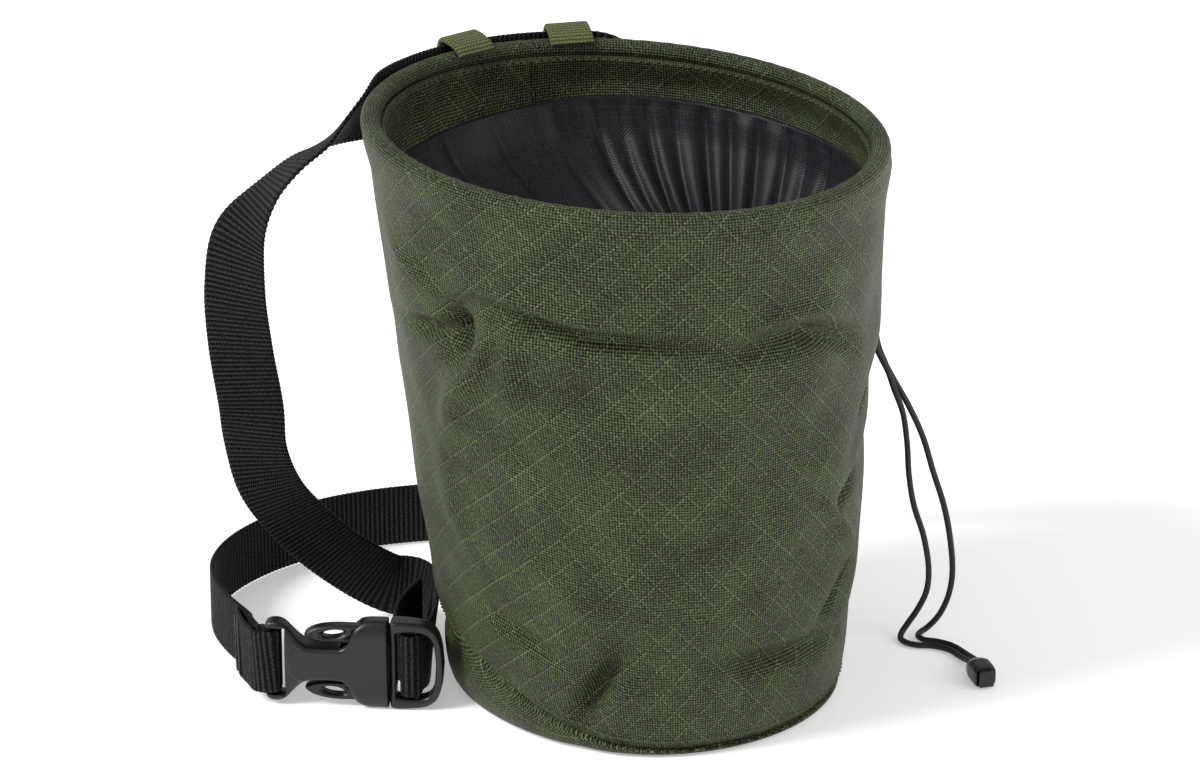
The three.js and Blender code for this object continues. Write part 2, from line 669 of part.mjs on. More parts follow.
// The stretch round the back of the rim, under the loops
// drop is how far the belt hangs below its place under the loops
const BACK_ROWS = [
  { turn: 66, drop: 5 },
  { turn: 74, drop: 0.4 },
  { turn: 81, drop: 0 },
  { turn: 94, drop: 0 },
  { turn: 107, drop: 0 },
  { turn: 116, drop: 0 },
  { turn: 125, drop: 0 },
  { turn: 135, drop: 0 },
];
const ROUND_BACK = BACK_ROWS.map(({ turn, drop }) => {
  const angle = THREE.MathUtils.degToRad(turn);
  const height = rimHeight(angle) + BELT_RISE - BELT_WIDTH / 2 - drop;
  const lean = laid(-BAG_LEAN, 0, 0);
  return {
    centre: new THREE.Vector3(
      lean.x + BELT_BACK_RADIUS * Math.cos(angle),
      lean.y + BELT_BACK_RADIUS * Math.sin(angle),
      height
    ),
    across: UPRIGHT,
    steps: 2,
  };
});

// The stretch that hangs down the side in a long curve: toSide, toAway and toUp say which way it lies across
const DOWN_SIDE = [
  { side: -1.128, away: 0.25, up: 0.965, toSide: 0.1, toAway: -0.62, toUp: 0.78 },
  { side: -1.251, away: 0.13, up: 0.94, toSide: 0.07, toAway: -0.96, toUp: 0.28 },
  { side: -1.364, away: 0.045, up: 0.915, toSide: 0.29, toAway: -0.93, toUp: 0.21 },
  { side: -1.469, away: -0.01, up: 0.872, toSide: 0.53, toAway: -0.81, toUp: 0.26 },
  { side: -1.56, away: -0.035, up: 0.803, toSide: 0.81, toAway: -0.57, toUp: 0.17 },
  { side: -1.584, away: -0.02, up: 0.71, toSide: 0.91, toAway: -0.39, toUp: 0.13 },
  { side: -1.573, away: 0.04, up: 0.595, toSide: 0.96, toAway: -0.2, toUp: 0.1 },
  { side: -1.544, away: 0.11, up: 0.478, toSide: 0.97, toAway: -0.12, toUp: 0.08 },
  { side: -1.535, away: 0.17, up: 0.396, toSide: 0.93, toAway: -0.3, toUp: 0.2 },
  { side: -1.485, away: 0.25, up: 0.3, toSide: 0.94, toAway: -0.12, toUp: 0.3 },
  { side: -1.379, away: 0.35, up: 0.215, toSide: 0.86, toAway: -0.05, toUp: 0.48 },
  { side: -1.236, away: 0.44, up: 0.137, toSide: 0.74, toAway: -0.05, toUp: 0.66 },
].map(({ side, away, up, toSide, toAway, toUp }) => ({
  centre: laid(side * MOUTH_RADIUS, away * MOUTH_RADIUS, up * BAG_HEIGHT),
  across: laid(toSide, toAway, toUp),
  steps: 4,
}));

// The turn on the floor beside the bag, towards the buckle
const TOWARDS_BUCKLE = [
  { side: -1.04, away: 0.52, lift: 0.09, toSide: 0.5, toUp: 0.86, steps: 4 },
  { side: -0.93, away: 0.49, lift: 0.04, toSide: 0.34, toUp: 0.94, steps: 3 },
  { side: -0.872, away: 0.4, lift: 0.02, toSide: 0.24, toUp: 0.97, steps: 3 },
  { side: -0.857, away: 0.27, lift: 0.01, toSide: 0.18, toUp: 0.98, steps: 2 },
  { side: -0.855, away: 0.05, lift: 0, toSide: 0.1, toUp: 1, steps: 2 },
].map(({ side, away, lift, toSide, toUp, steps }) => ({
  centre: laid(side * MOUTH_RADIUS, away * MOUTH_RADIUS, BELT_ON_FLOOR + lift * BELT_WIDTH),
  across: laid(toSide, 0, toUp),
  steps,
}));

// The turn round the frame's middle bar, and the tail that goes back from it
const MID_BAR = (MID_BAR_START + MID_BAR_END) / 2;
const THROUGH_FRAME = wrapRows(MID_BAR, [
  { u: 1.35, w: 4.6, drop: 0.12, steps: 2 },
  { u: 1.15, w: 1.9, drop: 0.015, steps: 2 },
  { u: 1.06, w: 0.3, steps: 2 },
  { u: 0.74, w: -0.98, steps: 2 },
  { u: 0, w: -1.2, steps: 2 },
  { u: -0.72, w: -0.98, steps: 2 },
  { u: -1.0, w: 0.3, steps: 2 },
  { u: -1.02, w: 1.9, drop: 0.015, steps: 2 },
  { u: -1.25, w: 4.6, drop: 0.12, steps: 3 },
]);

const TAIL = [
  { side: -0.99, away: -0.04 },
  { side: -0.985, away: 0.12 },
  { side: -0.95, away: 0.24 },
  { side: -0.905, away: 0.35 },
].map(({ side, away }) => ({
  centre: laid(side * MOUTH_RADIUS, away * MOUTH_RADIUS, BELT_ON_FLOOR),
  across: UPRIGHT,
  steps: 3,
}));

const BELT_ROWS = [SEWN_END, ON_FLOOR, ROUND_BACK, DOWN_SIDE, TOWARDS_BUCKLE, THROUGH_FRAME, TAIL].flat();
addPiece('belt', strip(BELT_ROWS, BELT_WIDTH, BELT_THICK), BLACK_WEBBING);

// Eyelet: a small ring on the shell's side that the two strands come out of
const EYELET_TURN = LAY_TURN + THREE.MathUtils.degToRad(24);
const EYELET_UP = 0.684;

function eyeletPlace() {
  const seat = shellPoint(EYELET_TURN, EYELET_UP);
  const out = new THREE.Vector3(Math.cos(EYELET_TURN), Math.sin(EYELET_TURN), 0);
  const level = new THREE.Vector3(0, 0, 1);
  const sideways = new THREE.Vector3().crossVectors(level, out);
  const turn = new THREE.Matrix4().makeBasis(sideways, out, level.clone().negate());
  return turn.setPosition(seat.addScaledVector(out, CLEARANCE * 2));
}

const BORE_RADIUS = CORD_DIAMETER + CLEARANCE * 2;
const EYELET_EDGE = EYELET_HEIGHT * 0.4;
const EYELET_TOP_RADIUS = EYELET_RADIUS * 0.85;
const eyelet = new THREE.LatheGeometry([
  new THREE.Vector2(BORE_RADIUS, 0),
  new THREE.Vector2(EYELET_RADIUS, 0),
  new THREE.Vector2(EYELET_RADIUS, EYELET_EDGE),
  new THREE.Vector2(EYELET_TOP_RADIUS, EYELET_HEIGHT),
  new THREE.Vector2(BORE_RADIUS, EYELET_HEIGHT),
  new THREE.Vector2(BORE_RADIUS, 0),
], 20);
addPiece('cord_eyelet', geometryOf(solid(eyelet)).applyMatrix4(eyeletPlace()), BLACK_PLASTIC);

// Drawcord: two strands from the eyelet, down to the floor and along it to the moulded end
// Points in millimetres to the side, away and up, followed by a smooth curve
const STRAND_A = [
  [61.6, 29.6, 118.5], [65.0, 31.0, 118.4], [66.9, 30.4, 115.8], [67.6, 29.2, 110.6], [68.2, 27.8, 97.0],
  [72.1, 27.2, 88.3], [74.0, 27.0, 82.8], [76.8, 27.0, 75.0], [78.3, 27.0, 65.5], [79.2, 27.0, 54.0],
  [80.8, 27.0, 44.5], [84.2, 27.0, 33.4], [85.9, 27.0, 22.6], [85.4, 27.0, 15.4], [82.9, 27.2, 9.2],
  [80.1, 27.2, 4.6], [78.1, 26.0, 1.9], [77.5, 23.6, 1.05], [78.7, 20.6, 1.05], [82.1, 18.4, 1.05],
  [87.1, 17.8, 1.05], [91.9, 15.2, 1.05], [94.5, 11.0, 1.15], [96.0, 7.0, 1.9], [97.1, 3.6, 2.8],
  [97.6, 0.7, 3.3],
];
const STRAND_B = [
  [61.6, 29.7, 120.8], [64.9, 31.3, 121.0], [68.2, 32.9, 118.9], [69.1, 32.8, 112.7], [68.6, 31.2, 97.9],
  [71.4, 30.6, 89.6], [74.3, 30.2, 84.0], [79.0, 30.0, 75.4], [83.3, 30.0, 65.6], [86.7, 30.0, 54.2],
  [90.2, 30.0, 43.0], [92.4, 30.0, 32.0], [93.4, 30.0, 19.6], [92.1, 30.0, 11.4], [89.3, 29.8, 5.4],
  [86.1, 29.2, 2.0], [83.7, 27.4, 1.05], [83.1, 24.8, 1.05], [84.7, 22.2, 1.05], [88.7, 20.9, 1.05],
  [93.1, 18.0, 1.05], [96.1, 13.4, 1.15], [97.9, 8.6, 1.9], [99.2, 4.4, 2.8], [100.1, 1.2, 3.3],
];

const CORD_SIDES = 8;
const CORD_STEP = CORD_DIAMETER * 2.4;

function strand(points) {
  const route = new THREE.CatmullRomCurve3(points.map((p) => laid(...p)), false, 'centripetal');
  const section = new THREE.Shape(Array.from({ length: CORD_SIDES }, (_, i) => {
    const turn = ((i + 0.5) / CORD_SIDES) * Math.PI * 2;
    return new THREE.Vector2(Math.cos(turn), Math.sin(turn)).multiplyScalar(CORD_DIAMETER / 2);
  }));
  const steps = Math.round(route.getLength() / CORD_STEP);
  return new THREE.ExtrudeGeometry(section, { steps, extrudePath: route, bevelEnabled: false });
}

addPiece('drawcord_a', strand(STRAND_A), BLACK_CORD);
addPiece('drawcord_b', strand(STRAND_B), BLACK_CORD);

// Cord end: a moulded toggle lying on the floor, rounded at the cord and square at its free end
// Rows run along it, with shares of its width and height and how square the section is
const CORD_END_FROM = laid(98.8, 0.45, 0);
const CORD_END_WAY = laid(0.27, -0.96, 0).normalize();
const CORD_END_SIDES = 16;
const CORD_END_ROWS = [
  { along: 0, wide: 0.7, tall: 0.72, round: 2.2 },
  { along: 0.12, wide: 0.88, tall: 0.88, round: 2.4 },
  { along: 0.35, wide: 1, tall: 1, round: 2.8 },
  { along: 0.7, wide: 0.96, tall: 0.98, round: 3.4 },
  { along: 1, wide: 0.84, tall: 0.92, round: 5 },
];

function cordEnd() {
  const sideways = new THREE.Vector3().crossVectors(CORD_END_WAY, UPRIGHT);
  const middle = CORD_END_HEIGHT / 2;
  const rings = CORD_END_ROWS.map((row) => Array.from({ length: CORD_END_SIDES }, (_, i) => {
    const turn = (i / CORD_END_SIDES) * Math.PI * 2;
    const sum = Math.abs(Math.cos(turn)) ** row.round + Math.abs(Math.sin(turn)) ** row.round;
    const swell = sum ** (-1 / row.round);
    return CORD_END_FROM.clone()
      .addScaledVector(CORD_END_WAY, row.along * CORD_END_LENGTH)
      .addScaledVector(sideways, (CORD_END_WIDTH / 2) * row.wide * swell * Math.cos(turn))
      .addScaledVector(UPRIGHT, middle * (row.tall + row.tall * swell * Math.sin(turn)));
  }));
  const ends = [0, CORD_END_LENGTH].map((along) => CORD_END_FROM.clone()
    .addScaledVector(CORD_END_WAY, along)
    .addScaledVector(UPRIGHT, middle * CORD_END_ROWS[0].tall));
  return skin(rings, ends);
}

addPiece('cord_end', cordEnd(), BLACK_PLASTIC);

export default chalkBag;
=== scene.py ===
# %% [markdown]
# # A climbing chalk bag
# A climber ties this bag round the waist and dips a hand into it for chalk. It is a tapered cloth tube with a
# rolled rim, a gathered inner collar that keeps the chalk in, a webbing belt with a side-release buckle and a
# thin drawcord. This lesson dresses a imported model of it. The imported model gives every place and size, and
# each cell below makes one piece or one finish over it.

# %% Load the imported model
import json
import math

import bmesh
import bpy
import numpy as np
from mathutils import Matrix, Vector

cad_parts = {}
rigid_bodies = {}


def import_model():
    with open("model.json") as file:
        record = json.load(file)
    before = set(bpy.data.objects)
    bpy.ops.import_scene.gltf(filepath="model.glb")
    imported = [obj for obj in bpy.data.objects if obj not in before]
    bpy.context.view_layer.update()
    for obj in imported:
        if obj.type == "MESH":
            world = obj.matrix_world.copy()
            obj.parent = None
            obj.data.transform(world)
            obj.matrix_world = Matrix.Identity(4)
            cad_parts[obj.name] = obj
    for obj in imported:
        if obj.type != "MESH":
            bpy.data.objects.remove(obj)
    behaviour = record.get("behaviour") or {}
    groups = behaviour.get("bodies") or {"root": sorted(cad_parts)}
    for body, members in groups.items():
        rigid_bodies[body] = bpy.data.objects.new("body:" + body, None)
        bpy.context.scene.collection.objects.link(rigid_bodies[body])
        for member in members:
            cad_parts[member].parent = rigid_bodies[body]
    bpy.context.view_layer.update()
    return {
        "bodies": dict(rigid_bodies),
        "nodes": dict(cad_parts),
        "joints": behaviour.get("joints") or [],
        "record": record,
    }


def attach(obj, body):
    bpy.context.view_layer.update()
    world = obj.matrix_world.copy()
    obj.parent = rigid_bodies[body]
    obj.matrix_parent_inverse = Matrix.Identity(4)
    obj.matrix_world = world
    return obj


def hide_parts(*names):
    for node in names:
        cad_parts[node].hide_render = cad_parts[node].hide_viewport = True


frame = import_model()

# %% [markdown]
# ## Sizes
# The sizes are in millimetres, because a maker thinks in them, and the last step of every mesh turns them into
# metres. The bag leans, and its belt and cord lie, square to a line that is turned 22 degrees from the bag's
# front, so one function places a point by how far it is to the side, away and up along that lay line.

# %% Sizes of the bag, and the lay line
MM = 0.001
BAG_HEIGHT, MOUTH_RADIUS, BASE_RADIUS = 178, 77.4, 57.6
SHELL_WALL, RIM_BEAD, RIM_DROP, BAG_LEAN = 1.6, 6, 9.3, 7.4
LAY_TURN = math.radians(-22)
UPRIGHT = np.array([0.0, 0.0, 1.0])
MEAN_RADIUS = 68  # of the shell, where distances along its cloth are measured


def laid(side, away, up):
    """A point along the lay line, or an array of points."""
    c, s = math.cos(LAY_TURN), math.sin(LAY_TURN)
    return np.stack(np.broadcast_arrays(side * c - away * s, side * s + away * c, up), axis=-1)


def unit(v):
    """A direction, or an array of them, made one long."""
    return v / np.linalg.norm(v, axis=-1, keepdims=True)


def run_along(line):
    """The distance along a line at each of its points."""
    return np.concatenate([[0], np.cumsum(np.linalg.norm(np.diff(line, axis=0), axis=1))])


print("the mouth is", round(2 * MOUTH_RADIUS), "mm across")

# %% [markdown]
# ## Camera
# The picture looks down into the mouth from about 22 degrees above the horizon, along the lay line. A long
# lens from 1.6 m away gives the same small amount of perspective as a product photograph.

# %% Camera
CAMERA_RISE, CAMERA_FAR, CAMERA_LENS = math.radians(22.5), 1600, 161.5
CAMERA_AIM = laid(-15, 0, 95.4)
aim = Vector(CAMERA_AIM) * MM
back = Vector(laid(0, -math.cos(CAMERA_RISE), math.sin(CAMERA_RISE)))
camera = bpy.data.objects.new("camera", bpy.data.cameras.new("camera"))
bpy.context.scene.collection.objects.link(camera)
camera.location = aim + back * CAMERA_FAR * MM
camera.rotation_euler = (-back).to_track_quat("-Z", "Y").to_euler()
camera.data.lens = CAMERA_LENS
camera.data.sensor_width = 36
camera.data.clip_start, camera.data.clip_end = 0.05, 20
bpy.context.scene.camera = camera
print("camera at", [round(v, 2) for v in camera.location], "m")

# %% [markdown]
# ## Making meshes from rows of points
# Cloth, webbing and bindings are all surfaces that can be laid out in rows, so one function turns a grid of
# points into a mesh. It also keeps where each point would lie on the flat cloth, in metres, as a UV map, and
# the weave in the materials is drawn from that map. The grid may close round its columns, its rows, or both.


# %% Mesh helpers
def add_object(name, points, faces, cloth=None, finish=None):
    """A smooth object from points in mm, with its place on the flat cloth in mm at each face corner."""
    mesh = bpy.data.meshes.new(name)
    mesh.from_pydata((np.asarray(points) * MM).tolist(), [], faces)
    if cloth is not None:
        layer = mesh.uv_layers.new(name="cloth")
        layer.data.foreach_set("uv", (np.asarray(cloth) * MM).astype(np.float32).ravel())
    mesh.polygons.foreach_set("use_smooth", [True] * len(mesh.polygons))
    mesh.update()
    piece = bpy.data.objects.new(name, mesh)
    bpy.context.scene.collection.objects.link(piece)
    if finish:
        mesh.materials.append(finish)
    return piece


def grid_faces(rows, columns, close_rows, close_columns):
    """Corner numbers of every square of a grid, as one array of four columns."""
    r = np.arange(rows if close_rows else rows - 1)[:, None]
    c = np.arange(columns if close_columns else columns - 1)[None, :]
    r2, c2 = (r + 1) % rows, (c + 1) % columns
    corners = [r * columns + c, r * columns + c2, r2 * columns + c2, r2 * columns + c]
    return np.stack(np.broadcast_arrays(*corners), axis=-1).reshape(-1, 4)


def grid_object(name, grid, cloth, finish, close_rows=False, close_columns=True, flip=False):
    """cloth gives u and v at one more row or column than the grid has, where the grid closes on itself."""
    rows, columns = grid.shape[:2]
    faces = grid_faces(rows, columns, close_rows, close_columns)
    wide = cloth.shape[1]
    spans = (rows if close_rows else rows - 1, columns if close_columns else columns - 1)
    r, c = np.meshgrid(np.arange(spans[0]), np.arange(spans[1]), indexing="ij")
    flat = np.stack([r * wide + c, r * wide + c + 1, (r + 1) * wide + c + 1, (r + 1) * wide + c], axis=-1)
    flat = flat.reshape(-1, 4)
    if flip:
        faces, flat = faces[:, ::-1], flat[:, ::-1]
    return add_object(name, grid.reshape(-1, 3), faces.tolist(), cloth.reshape(-1, 2)[flat.ravel()], finish)


print("a grid of 3 by 4 points has", len(grid_faces(3, 4, False, False)), "squares")

# %% [markdown]
# ## Materials
# A material here is a small tree of nodes. One function adds a node, sets it up and joins its inputs, and
# another turns a colour picked on a screen into the linear light values that the shader works in.


# %% Material helpers
def linear(code):
    """A hex colour as linear red, green, blue and alpha."""
    parts = [int(code[i : i + 2], 16) / 255 for i in (1, 3, 5)]
    return [p / 12.92 if p <= 0.04045 else ((p + 0.055) / 1.055) ** 2.4 for p in parts] + [1]


def add_node(tree, kind, inputs=(), **settings):
    """A new node. inputs pairs each socket, by name or number, with a value or another node's output."""
    made = tree.nodes.new(kind)
    for name, value in settings.items():
        setattr(made, name, value)
    for socket, value in dict(inputs).items():
        if isinstance(value, bpy.types.NodeSocket):
            tree.links.new(value, made.inputs[socket])
        else:
            made.inputs[socket].default_value = value
    return made


def new_material(name):
    """An empty material and its tree of nodes."""
    finish = bpy.data.materials.new(name)
    finish.use_nodes = True
    finish.node_tree.nodes.clear()
    return finish, finish.node_tree


def calc(tree, operation, *values, clamp=False):
    """One step of arithmetic on numbers and other nodes' outputs."""
    inputs = dict(enumerate(values))
    return add_node(tree, "ShaderNodeMath", inputs, operation=operation, use_clamp=clamp).outputs[0]


def ramp(tree, value, low, high, to_low=0.0, to_high=1.0, kind="LINEAR"):
    """A value carried from one span, low to high, over to another."""
    inputs = {"Value": value, "From Min": low, "From Max": high, "To Min": to_low, "To Max": to_high}
    return add_node(tree, "ShaderNodeMapRange", inputs, interpolation_type=kind).outputs[0]


def mix_colours(tree, share, low, high):
    """A mix of two colours, each a hex code or another node's output."""
    low, high = [linear(c) if isinstance(c, str) else c for c in (low, high)]
    return add_node(tree, "ShaderNodeMix", {0: share, 6: low, 7: high}, data_type="RGBA").outputs[2]


def noise(tree, place, scale, detail=2.0, roughness=0.5):
    inputs = {"Vector": place, "Scale": scale, "Detail": detail, "Roughness": roughness}
    return add_node(tree, "ShaderNodeTexNoise", inputs).outputs[0]


def relief(tree, height, strength, distance):
    inputs = {"Height": height, "Strength": strength, "Distance": distance}
    return add_node(tree, "ShaderNodeBump", inputs).outputs[0]


def finish_surface(tree, inputs):
    shader = add_node(tree, "ShaderNodeBsdfPrincipled", inputs)
    add_node(tree, "ShaderNodeOutputMaterial", {"Surface": shader.outputs[0]})


print("white is", linear("#ffffff"), "and middle grey", [round(v, 2) for v in linear("#808080")])

# %% [markdown]
# ### Olive ripstop nylon
# The shell is plain-woven nylon with a thicker thread every 7 mm, which stops a tear from running. The cloth
# is cut on the bias, so the thick threads make a grid of diamonds. Two sine waves along the two thread
# directions, multiplied, give the pebbles of a plain weave. The real threads are less than 0.5 mm apart, and
# they are drawn at 0.6 mm so that they show. Nylon fibres lie flat and catch light at a glancing angle, which
# a little sheen gives. The thick threads are painted lighter, as a painted highlight, and a thin line beside
# each is painted darker, as the painted shadow of a raised thread.


# %% Ripstop cloth
PATCHES, SPECKS, YARN_SPECKS = 55.0, 1300.0, 1500.0  # spots of tone to a metre of cloth
# the last two darken a painted shadow beside each thick thread and lighten the thick threads as a painted
# highlight
PEBBLE_TONE, PATCH_TONE, THREAD_SHADOW_TONE, THREAD_HIGHLIGHT_SHARE = 0.3, 0.4, -0.07, 0.9
CLOTH_SPAN = (0.56, 1.0)  # the levels that become the dark and the light colour


def ripstop(name, thread, grid, turn, colours, line, gloss, bump, sheen):
    """Plain weave with a grid of thicker threads, all in millimetres, on the piece's flat cloth map. The thick
    threads are painted towards the line colour as a painted highlight, with a painted shadow beside them.
    """
    finish, tree = new_material(name)
    flat = add_node(tree, "ShaderNodeUVMap", uv_map="cloth").outputs[0]
    turned = add_node(tree, "ShaderNodeMapping", {"Vector": flat, "Rotation": (0, 0, math.radians(turn))})
    along = add_node(tree, "ShaderNodeSeparateXYZ", {0: turned.outputs[0]}).outputs

    def waves(axis):
        return calc(tree, "SINE", calc(tree, "MULTIPLY", along[axis], math.pi / (thread * MM)))

    def thick_threads(shift):
        """1 on the thick threads of both ways of the cloth, moved aside by shift, and 0 between them."""
        ways = []
        for axis in (0, 1):
            away = calc(tree, "PINGPONG", calc(tree, "ADD", along[axis], shift * MM), grid / 2 * MM)
            ways.append(ramp(tree, away, thread * 0.1 * MM, thread * 0.55 * MM, 1.0, 0.0, "SMOOTHSTEP"))
        return calc(tree, "MAXIMUM", *ways)

    pebble = calc(tree, "MULTIPLY", waves(0), waves(1))
    # the thick threads carry a painted highlight, and the same mask moved aside is a painted shadow beside them
    threads, painted_thread_shadow = thick_threads(0.0), thick_threads(thread * 0.85)
    level = calc(tree, "MULTIPLY_ADD", pebble, PEBBLE_TONE, noise(tree, flat, SPECKS))
    level = calc(tree, "MULTIPLY_ADD", noise(tree, flat, PATCHES, 3.0, 0.6), PATCH_TONE, level)
    level = calc(tree, "MULTIPLY_ADD", painted_thread_shadow, THREAD_SHADOW_TONE, level)
    tone = ramp(tree, level, *CLOTH_SPAN)
    # painted highlight: the thick threads move towards the line colour, more where the cloth is lighter
    painted_thread_highlight = calc(tree, "MULTIPLY", calc(tree, "MULTIPLY", threads, THREAD_HIGHLIGHT_SHARE), tone, clamp=True)
    height = calc(tree, "MULTIPLY_ADD", threads, 0.5, pebble)
    finish_surface(tree, {
        "Base Color": mix_colours(tree, painted_thread_highlight, mix_colours(tree, tone, *colours), line),
        "Roughness": gloss, "Normal": relief(tree, height, bump, thread * 0.25 * MM),
        "Sheen Weight": sheen, "Sheen Roughness": 0.5, "Specular IOR Level": 0.2,
    })
    return finish


# the colour after each pair paints the highlight on the thick threads
olive_ripstop = ripstop(
    "olive_ripstop_nylon", 0.6, 6.8, 45, ("#060903", "#5a6440"), "#78815c", 0.5, 1.0, 0.02
)
charcoal_ripstop = ripstop(
    "charcoal_ripstop_nylon", 0.5, 3.4, 0, ("#131316", "#29282d"), "#3a3a42", 0.4, 0.3, 0.03
)
print("cloths:", olive_ripstop.name, charcoal_ripstop.name)

# %% [markdown]
# ### Webbing
# The belt is ribbed nylon webbing: its weft makes a rib across the belt every 1.6 mm, and each rib is a row of
# slanted yarns. The ribs have real depth in the mesh, and the yarns within them are waves in the material. The
# dips between the ribs are painted darker, as painted shade, and the rib tops lighter, as a painted highlight.


# %% Webbing
# the second paints shade in the dips between the ribs and a highlight on the rib tops
YARN_TONE, RIB_SHADING_TONE = 0.16, -0.26
WEBBING_SPAN = (0.4, 0.95)


def webbing(name, yarn, lean, rib, colours, gloss, bump, sheen):
    """Slanted yarns on ribs across the strap, with painted shade in the dips between ribs and a painted
    highlight on their tops: yarn and rib are spacings in mm, and lean how far yarns slant.
    """
    finish, tree = new_material(name)
    flat = add_node(tree, "ShaderNodeUVMap", uv_map="cloth").outputs[0]
    along = add_node(tree, "ShaderNodeSeparateXYZ", {0: flat}).outputs
    slant = calc(tree, "MULTIPLY_ADD", along[1], lean, along[0])
    yarns = calc(tree, "SINE", calc(tree, "MULTIPLY", slant, 2 * math.pi / (yarn * MM)))
    # one wave at the rib spacing: painted shade in the dips between the ribs, painted highlight on their tops
    painted_rib_shading = calc(tree, "COSINE", calc(tree, "MULTIPLY", along[1], 2 * math.pi / (rib * MM)))
    level = calc(tree, "MULTIPLY_ADD", yarns, YARN_TONE, noise(tree, flat, YARN_SPECKS))
    level = calc(tree, "MULTIPLY_ADD", painted_rib_shading, RIB_SHADING_TONE, level)
    finish_surface(tree, {
        "Base Color": mix_colours(tree, ramp(tree, level, *WEBBING_SPAN), *colours),
        "Roughness": gloss, "Normal": relief(tree, yarns, bump, 0.12 * MM),
        "Sheen Weight": sheen, "Sheen Roughness": 0.4, "Specular IOR Level": 0.1,
    })
    return finish


black_webbing = webbing("black_nylon_webbing", 0.7, 0.35, 1.6, ("#010101", "#3c3c3e"), 0.55, 0.8, 0.02)
olive_webbing = webbing("olive_nylon_webbing", 1.1, 1.0, 1.2, ("#424829", "#7c8458"), 0.7, 0.7, 0.15)
print("webbings:", black_webbing.name, olive_webbing.name)

# %% [markdown]
# ### Moulded acetal, braided cord and thread
# Side-release buckles are moulded in acetal, a tough plastic with a satin skin. Spark-eroded moulds leave a
# fine grain on it, about 0.4 mm across. The cord is braided polyester, and the seams are sewn with bonded
# nylon thread.


# %% Plastic, cord and thread
def plain_grain(name, grain, colours, gloss, bump, depth=0.05):
    """A finish whose grain, in mm, shows as small differences in tone, gloss and height."""
    finish, tree = new_material(name)
    place = add_node(tree, "ShaderNodeTexCoord").outputs["Object"]
    dots = noise(tree, place, 1 / (grain * MM), roughness=0.6)
    finish_surface(tree, {
        "Base Color": mix_colours(tree, dots, *colours),
        "Roughness": ramp(tree, dots, 0.0, 1.0, gloss - 0.08, gloss + 0.1),
        "Normal": relief(tree, dots, bump, depth * MM), "IOR": 1.48,
    })
    return finish


black_acetal = plain_grain("black_acetal", 0.35, ("#0b0c0d", "#1a1b1d"), 0.32, 0.9, 0.07)
black_cord = plain_grain("black_braided_cord", 0.5, ("#0c0c0c", "#232324"), 0.6, 0.8, 0.15)
olive_thread = plain_grain("olive_thread", 0.3, ("#252b18", "#555d3c"), 0.6, 0.4)
black_thread = plain_grain("black_thread", 0.3, ("#161617", "#3c3c3e"), 0.5, 0.4)
print("grained finishes:", black_acetal.name, black_cord.name)

# %% [markdown]
# ## Drawcord
# Two thin strands come out of the eyelet, hang down beside the bag and meet in a moulded end on the floor.
# Each is a curve through the same points as its solid, and a braid is a tube, so the curve gets a round bevel.

# %% Drawcord strands
CORD_DIAMETER = 1.9
STRAND_A = [
    (61.6, 29.6, 118.5), (65.0, 31.0, 118.4), (66.9, 30.4, 115.8), (67.6, 29.2, 110.6), (68.2, 27.8, 97.0),
    (72.1, 27.2, 88.3), (74.0, 27.0, 82.8), (76.8, 27.0, 75.0), (78.3, 27.0, 65.5), (79.2, 27.0, 54.0),
    (80.8, 27.0, 44.5), (84.2, 27.0, 33.4), (85.9, 27.0, 22.6), (85.4, 27.0, 15.4), (82.9, 27.2, 9.2),
    (80.1, 27.2, 4.6), (78.1, 26.0, 1.9), (77.5, 23.6, 1.05), (78.7, 20.6, 1.05), (82.1, 18.4, 1.05),
    (87.1, 17.8, 1.05), (91.9, 15.2, 1.05), (94.5, 11.0, 1.15), (96.0, 7.0, 1.9), (97.1, 3.6, 2.8),
    (97.6, 0.7, 3.3),
]
STRAND_B = [
    (61.6, 29.7, 120.8), (64.9, 31.3, 121.0), (68.2, 32.9, 118.9), (69.1, 32.8, 112.7), (68.6, 31.2, 97.9),
    (71.4, 30.6, 89.6), (74.3, 30.2, 84.0), (79.0, 30.0, 75.4), (83.3, 30.0, 65.6), (86.7, 30.0, 54.2),
    (90.2, 30.0, 43.0), (92.4, 30.0, 32.0), (93.4, 30.0, 19.6), (92.1, 30.0, 11.4), (89.3, 29.8, 5.4),
    (86.1, 29.2, 2.0), (83.7, 27.4, 1.05), (83.1, 24.8, 1.05), (84.7, 22.2, 1.05), (88.7, 20.9, 1.05),
    (93.1, 18.0, 1.05), (96.1, 13.4, 1.15), (97.9, 8.6, 1.9), (99.2, 4.4, 2.8), (100.1, 1.2, 3.3),
]


